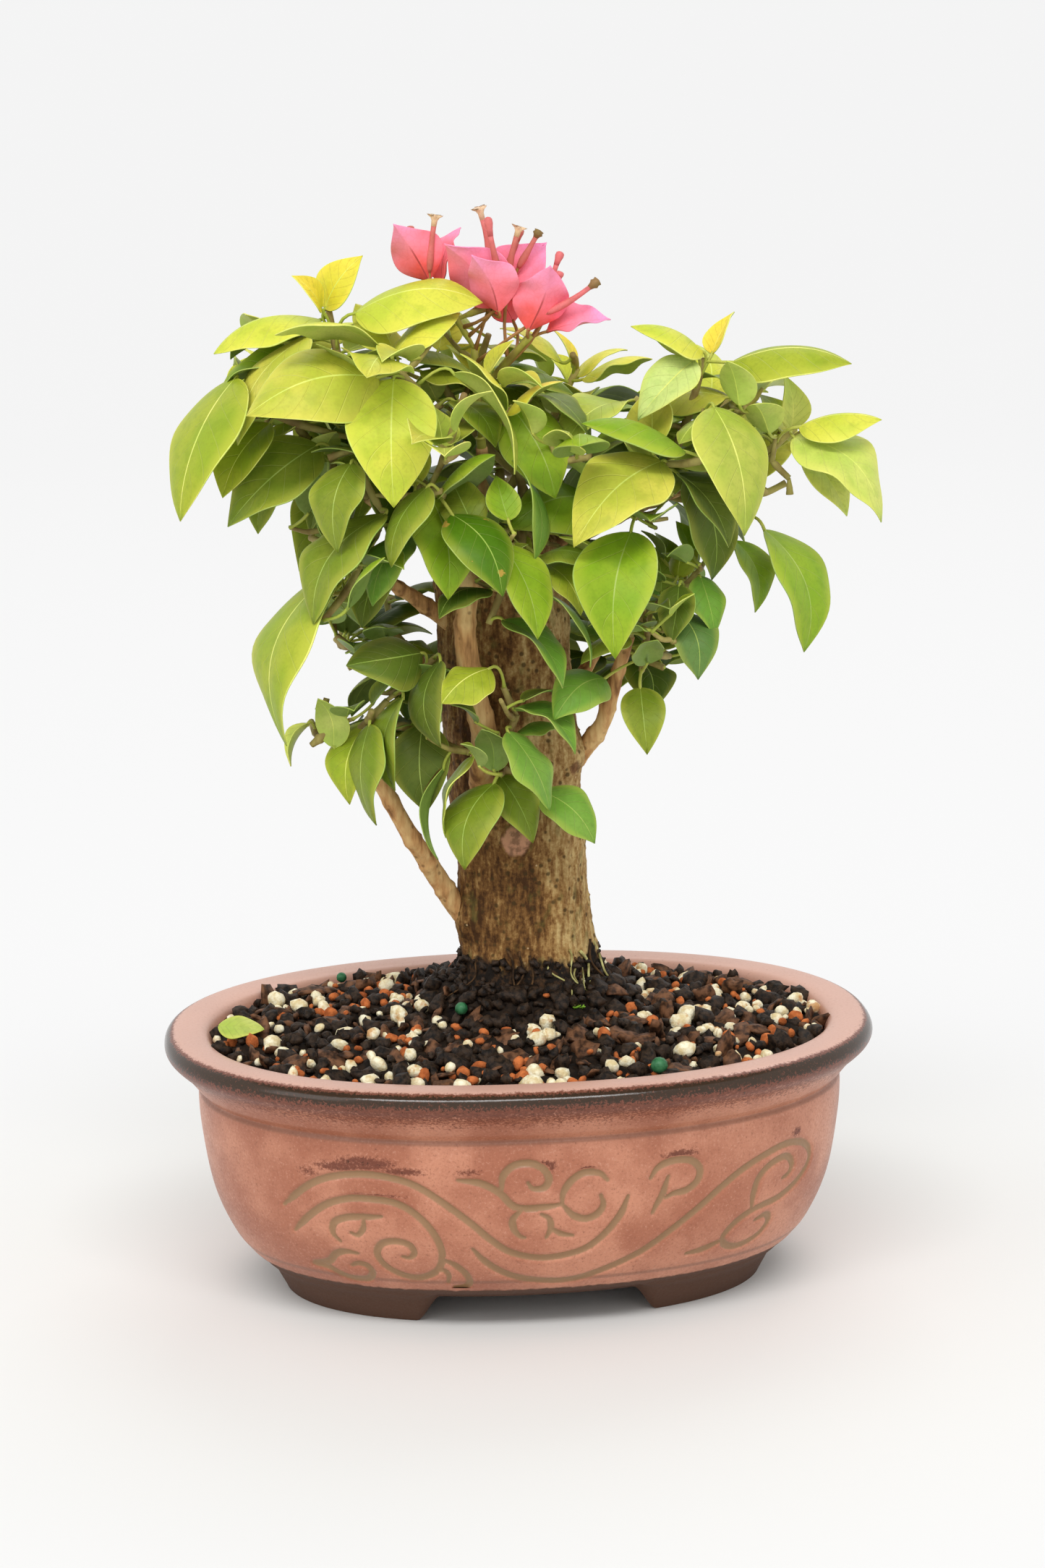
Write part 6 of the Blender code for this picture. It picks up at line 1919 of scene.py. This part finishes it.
def make_roots(materials):
    """Fine roots, some of them pale, that run down the trunk's foot into the soil."""
    rng = random.Random(ROOT_SEED)
    heap = Heap()
    for index in range(ROOTS):
        pale = index < PALE_ROOTS
        angle = math.radians(rng.uniform(*PALE_ROOT_ANGLES)) if pale else rng.uniform(0, 2 * math.pi)
        top = rng.uniform(*(PALE_ROOT_TOPS if pale else ROOT_TOPS))
        sway = rng.uniform(*ROOT_SWAY)
        start = rng.uniform(0, ROOT_SWAY_START)
        drift = rng.uniform(-ROOT_DRIFT, ROOT_DRIFT)
        path = []
        for share in np.linspace(0, 1, ROOT_STEPS):
            turn = angle + drift * share + sway * math.sin(start + ROOT_SWAYS * share)
            lift = ROOT_LIFT[0] + ROOT_LIFT[1] * share ** 3
            path.append(trunk_place(turn, top + (ROOT_END_Z - top) * share, lift))
        size = rng.uniform(*ROOT_RADII)
        heap.pipe(path, np.linspace(size, size * ROOT_TAPER, ROOT_STEPS), ROOT_SIDES, 0 if pale else 1)
    heap.piece("trunk_roots", ["trunk"], materials)


def make_trunk(bark, wood):
    """The trunk with its bark's relief, and its cut top with a few ridges."""
    heights = np.linspace(TRUNK_FOOT - BARK_BELOW, TRUNK_TOP, BARK_ROWS)
    angles = angles_round(BARK_SIDES)
    middles, radii = trunk_section(heights)
    smooth = np.array([[trunk_out(angle, height, radius) for angle in angles]
                       for height, radius in zip(heights, radii)])
    around = np.stack([np.cos(angles), np.sin(angles)], -1)
    places = np.empty((BARK_ROWS, BARK_SIDES, 3))
    places[:, :, 0] = middles[:, None] + smooth * around[None, :, 0]
    places[:, :, 1] = TRUNK_Y + smooth * around[None, :, 1]
    places[:, :, 2] = heights[:, None]
    rough = bark_surface(places.reshape(-1, 3)).reshape(BARK_ROWS, BARK_SIDES)
    places[:, :, :2] += around[None] * rough[:, :, None]
    heap = Heap()
    heap.add(places, grid_faces(BARK_ROWS, BARK_SIDES, True), 0)
    margin = places[-1].copy()
    centre = margin.mean(0)
    rings = []
    for share in np.linspace(1, CUT_MIDDLE, CUT_RINGS):
        ring = centre + (margin - centre) * share
        ridge = CUT_RIDGE * np.sin(share * CUT_RIDGES) * (share < CUT_MARGIN)
        ring[:, 2] = TRUNK_TOP + ridge - CUT_DISH * (1 - share)
        rings.append(ring)
    heap.add(rings, grid_faces(CUT_RINGS, BARK_SIDES, True), 1)
    ring = heap.count - BARK_SIDES + np.arange(BARK_SIDES)
    heap.fan(ring, centre[None] - np.array((0, 0, CUT_DISH)), 1)
    heap.piece("trunk_bark", ["trunk"], [bark, wood])


def make_bough(name, bark):
    """A bough that flares at its foot, with low joints and fine relief."""
    foot, tip, knots = BOUGHS[name]
    path = smooth_path(knots, BOUGH_STEPS)
    path.append(path[-1] + (path[-1] - path[-2]).normalized() * BOUGH_PAST)
    run = np.linspace(0, 1, len(path))
    length = line_length(path)
    flare, reach = BOUGH_FLARE
    radii = (foot + (tip - foot) * run) * (1 + flare * np.exp(-run * length / reach))
    height, width = BOUGH_JOINT
    for joint in range(int(length / BOUGH_JOINT_SPACING)):
        apart = run * length - BOUGH_JOINT_START - BOUGH_JOINT_SPACING * joint
        radii += height * np.exp(-((apart / width) ** 2))
    rows = np.repeat(radii[:, None], BOUGH_SIDES, 1)
    x, y, _ = knots[0]
    places = np.array([
        (math.cos(angle) * BOUGH_NOISE_RADIUS + x, math.sin(angle) * BOUGH_NOISE_RADIUS + y, done)
        for done in run * length for angle in angles_round(BOUGH_SIDES)])
    rows += sum(noise_at(places, size, stretch) * depth
                for size, stretch, depth in BOUGH_RELIEF).reshape(rows.shape)
    heap = Heap()
    heap.pipe(path, rows, BOUGH_SIDES, 0)
    heap.piece(name + "_bark", [name], [bark])


def leaf_outline(share, peak, fall):
    """Half a blade's breadth at a share of its length, as a share of the greatest."""
    rise = fall * peak / (1 - peak)
    return (share / peak) ** rise * ((1 - share) / (1 - peak)) ** fall


def drawn(rng, values):
    """The values, each as it is or drawn from its range."""
    return {name: rng.uniform(*value) if isinstance(value, tuple) else value
            for name, value in values.items()}


def blade_grid(foot, blade, rows, shape, rng):
    """A blade's places, row by row from its foot to its tip and across from edge to edge, and the
    way that its upper side faces at each."""
    (along, across, face), length, breadth, arch, fold = blade
    along, across, face = (np.array(tuple(way)) for way in (along, across, face))
    share = np.linspace(0, 1, rows) ** LEAF_CROWDING
    wide = np.maximum(leaf_outline(share, shape["peak"], shape["fall"]), 0.0) * length * breadth / 2
    wide = np.maximum(wide, np.interp(share, *LEAST_HALF))[:, None]
    strip = np.array(LEAF_STRIPS)[None, :]
    u = share[:, None]
    fold = math.radians(fold + shape["fold"])
    lift = math.sin(fold) * np.abs(strip) * wide
    lift = lift - shape["cup"] * strip ** 2 * wide
    wave = shape["wave"] * length * np.abs(strip) ** 2 * np.sin(np.pi * u)
    side = np.where(strip < 0, rng.uniform(0, ANY_TURN), rng.uniform(0, ANY_TURN))
    lift = lift + wave * np.sin(2 * np.pi * shape["waves"] * u + side)
    lift = lift + (arch + shape["arch"]) * length * 4 * u * (1 - u)
    lift = lift + shape["droop"] * length * (u - u ** 3)
    sway = shape["sway"] * length * np.sin(np.pi * u) + 0 * strip
    out = strip * wide * math.cos(fold)
    turn = shape["twist"] * u
    places = (np.array(tuple(foot)) + along * (u * length + 0 * strip)[:, :, None]
              + across * (sway + out * np.cos(turn))[:, :, None]
              + face * (lift + out * np.sin(turn))[:, :, None])
    facing = np.cross(np.gradient(places, axis=0), np.gradient(places, axis=1))
    size = np.linalg.norm(facing, axis=2)[:, :, None]
    return places, -facing / np.maximum(size, 1e-9), share


def add_sheet(heap, foot, blade, rows, shape, kinds, rng):
    """A thin closed blade with a keel under its midrib, and paler edges and midrib."""
    places, facing, share = blade_grid(foot, blade, rows, shape, rng)
    strips = len(LEAF_STRIPS)
    strip = np.array(LEAF_STRIPS)
    taper = (1 - MIDRIB_TAPER * share)[:, None]
    rib = (np.abs(strip) < LEAF_MIDRIB)[None, :] * taper
    upper = places + facing * (LEAF_HALF_THICKNESS - MIDRIB_GROOVE * rib)[:, :, None]
    lower = places - facing * (LEAF_HALF_THICKNESS + MIDRIB_KEEL * rib)[:, :, None]
    pattern = np.stack(np.broadcast_arrays(share[:, None], (strip[None, :] + 1) / 2), -1).reshape(-1, 2)
    faces = grid_faces(rows, strips, False)
    middle = (strip[:-1] + strip[1:]) / 2
    column = np.tile(np.arange(strips - 1), rows - 1)
    edge = np.abs(middle[column]) > LEAF_EDGE
    rib = np.abs(middle[column]) < LEAF_MIDRIB / 2
    top, pale, under = kinds
    count = rows * strips
    first = heap.count
    heap.add(np.concatenate([upper.reshape(-1, 3), lower.reshape(-1, 3)]),
             np.concatenate([faces, faces[:, ::-1] + count]),
             np.concatenate([np.where(edge | rib, pale, top), np.where(rib, pale, under)]),
             np.concatenate([pattern, pattern]))
    ring = np.concatenate([
        np.arange(strips), np.arange(1, rows) * strips + strips - 1,
        (rows - 1) * strips + np.arange(strips - 2, -1, -1), np.arange(rows - 2, 0, -1) * strips])
    after = np.roll(ring, -1)
    side = np.stack([ring, ring + count, after + count, after], -1)
    heap.corners.append(side.ravel() + first)
    heap.sizes.append(np.full(len(side), 4))
    heap.kinds.append(np.full(len(side), pale))


def add_stalk(heap, root, foot, way, kind):
    """A leaf's stalk, which leaves the twig and bends into the blade's own direction."""
    root, foot, way = (np.array(tuple(place)) for place in (root, foot, way))
    bend = foot - way * (STALK_BEND * np.linalg.norm(foot - root))
    share = np.linspace(0, 1, STALK_STEPS)[:, None]
    path = root * (1 - share) ** 2 + bend * 2 * share * (1 - share) + foot * share ** 2
    path = np.concatenate([path, (foot + way * STALK_END)[None]])
    heap.pipe(path, np.interp(np.linspace(0, 1, len(path)), *STALK_RADII), STALK_SIDES, kind)


def make_mass(mass, kinds, materials, bark):
    """A mass's fine leaves with their stalks, and its twigs."""
    rng = random.Random(MASSES[mass.name]["seed"] + 4)
    heap = Heap()
    for root, foot, blade, tint in mass.leaves:
        young = blade[1] < YOUNG_SHARE * MASSES[mass.name]["size"]
        shape = drawn(rng, YOUNG_SHAPE if young else GROWN_SHAPE)
        if blade[0][0].z > LEVEL_BLADE:
            shape["fold"] = -abs(shape["fold"]) - LEVEL_FOLD
        edge, under = ("edge_young", "under_light") if tint in PALE_TINTS else ("edge_old", "under_dark")
        rows = LEAF_ROWS if blade[1] > SMALL_LEAF else SMALL_LEAF_ROWS
        add_sheet(heap, foot, blade, rows, shape, (kinds[tint], kinds[edge], kinds[under]), rng)
        add_stalk(heap, root, foot, blade[0][0], kinds["stalk"])
    heap.piece(mass.name + "_leaves", [mass.name], materials)
    make_twigs(mass, bark)


def make_twigs(mass, bark):
    """A mass's fine twigs, with joints along them."""
    heap = Heap()
    high, wide, spacing = TWIG_JOINT
    for line, radii in zip(mass.lines, mass.radii):
        if len(line) == 2:
            line = [line[0], line[0].lerp(line[1], 0.5), line[1]]
            radii = [radii[0], (radii[0] + radii[1]) / 2, radii[1]]
        path = smooth_path(line, FINE_TWIG_STEPS)
        run = np.linspace(0, len(line) - 1, len(path))
        thick = np.interp(run, np.arange(len(radii)), radii)
        thick[0] = max(thick[0], radii[0] / TWIG_ROOT_SHARE if len(line) > 3 else thick[0])
        along = np.cumsum([0] + [(after - place).length for place, after in zip(path, path[1:])])
        thick = thick * (1 + high * np.exp(-((along % spacing - spacing / 2) / wide) ** 2))
        heap.pipe(path, thick, FINE_TWIG_SIDES, 0)
    heap.piece(mass.name + "_twigs", [mass.name], [bark])


def make_blossom(mass):
    """Papery bracts and slim flowers with spread mouths, on fine stalks."""
    rng = random.Random(BLOSSOM_SEED + 1)
    colours = {name: leaf_material(name, colour, False) for name, colour in FLOWER_COLOURS.items()}
    heap = Heap()
    for root, foot, blade, _ in mass.leaves:
        add_sheet(heap, foot, blade, LEAF_ROWS, drawn(rng, BRACT_SHAPE), (0, 2, 0), rng)
        add_stalk(heap, root, foot, blade[0][0], 1)
    heap.piece("blossom_bracts", ["blossom"], [
        bract_material("bract", False), colours["flower_stalk"], bract_material("bract_rib", True)])
    heap = Heap()
    count, plain, lobed = FLOWER_LOBES
    lobes = plain + lobed * np.cos(count * angles_round(FLOWER_SIDES))
    joint = len(FLOWER_TUBE[0])
    for root, foot, way, length, end in mass.flowers:
        add_stalk(heap, root, foot, way, 1)
        bend = way.orthogonal().normalized() * (length * rng.uniform(-FLOWER_BOW, FLOWER_BOW))
        shares, radii = FLOWER_ENDS[end]
        path = [foot + way * (length * share) + bend * math.sin(math.pi * share)
                for share in FLOWER_TUBE[0] + shares]
        heap.pipe(path[:joint + 1], FLOWER_TUBE[1] + radii[:1], FLOWER_SIDES, 0)
        rows = np.array(radii)[:, None] * np.ones(FLOWER_SIDES)
        if end == "star":
            rows[-3:-1] *= lobes
        heap.pipe(path[joint:], rows, FLOWER_SIDES, FLOWER_KINDS[end])
    heap.piece("blossom_flowers", ["blossom"], [
        colours[name] for name in ("flower", "flower_stalk", "flower_mouth", "flower_dry")])
    make_twigs(mass, soft_material("stem_bark"))


def make_camera():
    """The camera at the photo's viewing angle."""
    turn = math.radians(CAMERA_AZIMUTH)
    place = Vector((CAMERA_TARGET.x + math.sin(turn) * CAMERA_DISTANCE,
                    CAMERA_TARGET.y - math.cos(turn) * CAMERA_DISTANCE, CAMERA_HEIGHT))
    ahead = (CAMERA_TARGET - place).normalized()
    right = ahead.cross(UP).normalized()
    above = right.cross(ahead)
    tilt = math.radians(CAMERA_ROLL)
    across = right * math.cos(tilt) + above * math.sin(tilt)
    above = above * math.cos(tilt) - right * math.sin(tilt)
    camera = bpy.data.objects.new("camera", bpy.data.cameras.new("camera"))
    turned = Matrix((across, above, -ahead)).transposed().to_4x4()
    camera.matrix_world = Matrix.Translation(place * MM) @ turned
    camera.data.lens = CAMERA_LENS
    camera.data.clip_end = CAMERA_FAR_END
    bpy.context.scene.collection.objects.link(camera)
    bpy.context.scene.camera = camera


def make_stage():
    """A pale floor that curves up into a wall all round, a pale sky and three soft lights."""
    line = [(radius, 0.0) for radius in FLOOR_RINGS]
    bend = FLOOR_RINGS[-1]
    line += [(bend + FLOOR_BEND * math.sin(turn), FLOOR_BEND * (1 - math.cos(turn)))
             for turn in np.linspace(FLOOR_BEND_START, math.pi / 2, FLOOR_BEND_ROWS)]
    line.append((bend + FLOOR_BEND, WALL_TOP))
    places = [(radius * math.cos(turn), radius * math.sin(turn), height)
              for radius, height in line for turn in angles_round(FLOOR_SIDES)]
    grid = grid_faces(len(line), FLOOR_SIDES, True)
    faces = [tuple(int(corner) for corner in face[::-1]) for face in grid]
    faces.append(tuple(range(FLOOR_SIDES)))
    mesh = bpy.data.meshes.new("floor")
    mesh.from_pydata(places, [], faces)
    mesh.shade_smooth()
    finish = Finish("floor", FLOOR_COLOUR, FLOOR_ROUGHNESS, FLOOR_SPECULAR)
    near, far = FLOOR_FADE
    fade = finish.range(finish.sum("MULTIPLY", finish.away((0, 0, 0)), MM), near, far)
    finish.set("Base Color", finish.mix(fade, FLOOR_COLOUR, WALL_COLOUR))
    finish.shader.inputs["Emission Color"].default_value = (1, 1, 1, 1)
    finish.set("Emission Strength", finish.sum("MULTIPLY", fade, WALL_GLOW))
    finish.material.cycles.emission_sampling = "NONE"
    mesh.materials.append(finish.material)
    floor = bpy.data.objects.new("floor", mesh)
    bpy.context.scene.collection.objects.link(floor)
    world = bpy.data.worlds.new("sky")
    world.use_nodes = True
    world.node_tree.nodes["Background"].inputs["Color"].default_value = (1, 1, 1, 1)
    world.node_tree.nodes["Background"].inputs["Strength"].default_value = SKY_STRENGTH
    bpy.context.scene.world = world
    for name, place, size, power in LIGHTS:
        data = bpy.data.lights.new(name, "AREA")
        data.shape = "RECTANGLE"
        data.size, data.size_y = size
        data.energy = power
        light = bpy.data.objects.new(name, data)
        light.location = place
        light.rotation_euler = (LIGHT_TARGET - Vector(place)).to_track_quat("-Z", "Y").to_euler()
        bpy.context.scene.collection.objects.link(light)
    bpy.context.scene.view_settings.view_transform = "Standard"


def make_plant():
    """The trunk, roots and boughs, then the masses of leaves and the blossom."""
    looks = {name: leaf_material(name, colour, True, name == "blotched")
             for name, colour in TINTS.items()}
    looks.update({name: leaf_material(name, colour, False) for name, colour in OTHER_COLOURS.items()})
    kinds = {name: index for index, name in enumerate(looks)}
    make_trunk(trunk_material(), soft_material("cut_wood"))
    make_roots([soft_material("pale_root"), soft_material("dark_root")])
    bark = bark_material()
    for name in BOUGHS:
        make_bough(name, bark)
    *masses, blossom = grow_masses(tree_of(trunk_shape()))
    green_bark = soft_material("twig_bark")
    for mass in masses:
        make_mass(mass, kinds, list(looks.values()), green_bark)
    make_blossom(blossom)


make_camera()
make_stage()
make_pot(glaze_material())
make_soil()
make_plant()
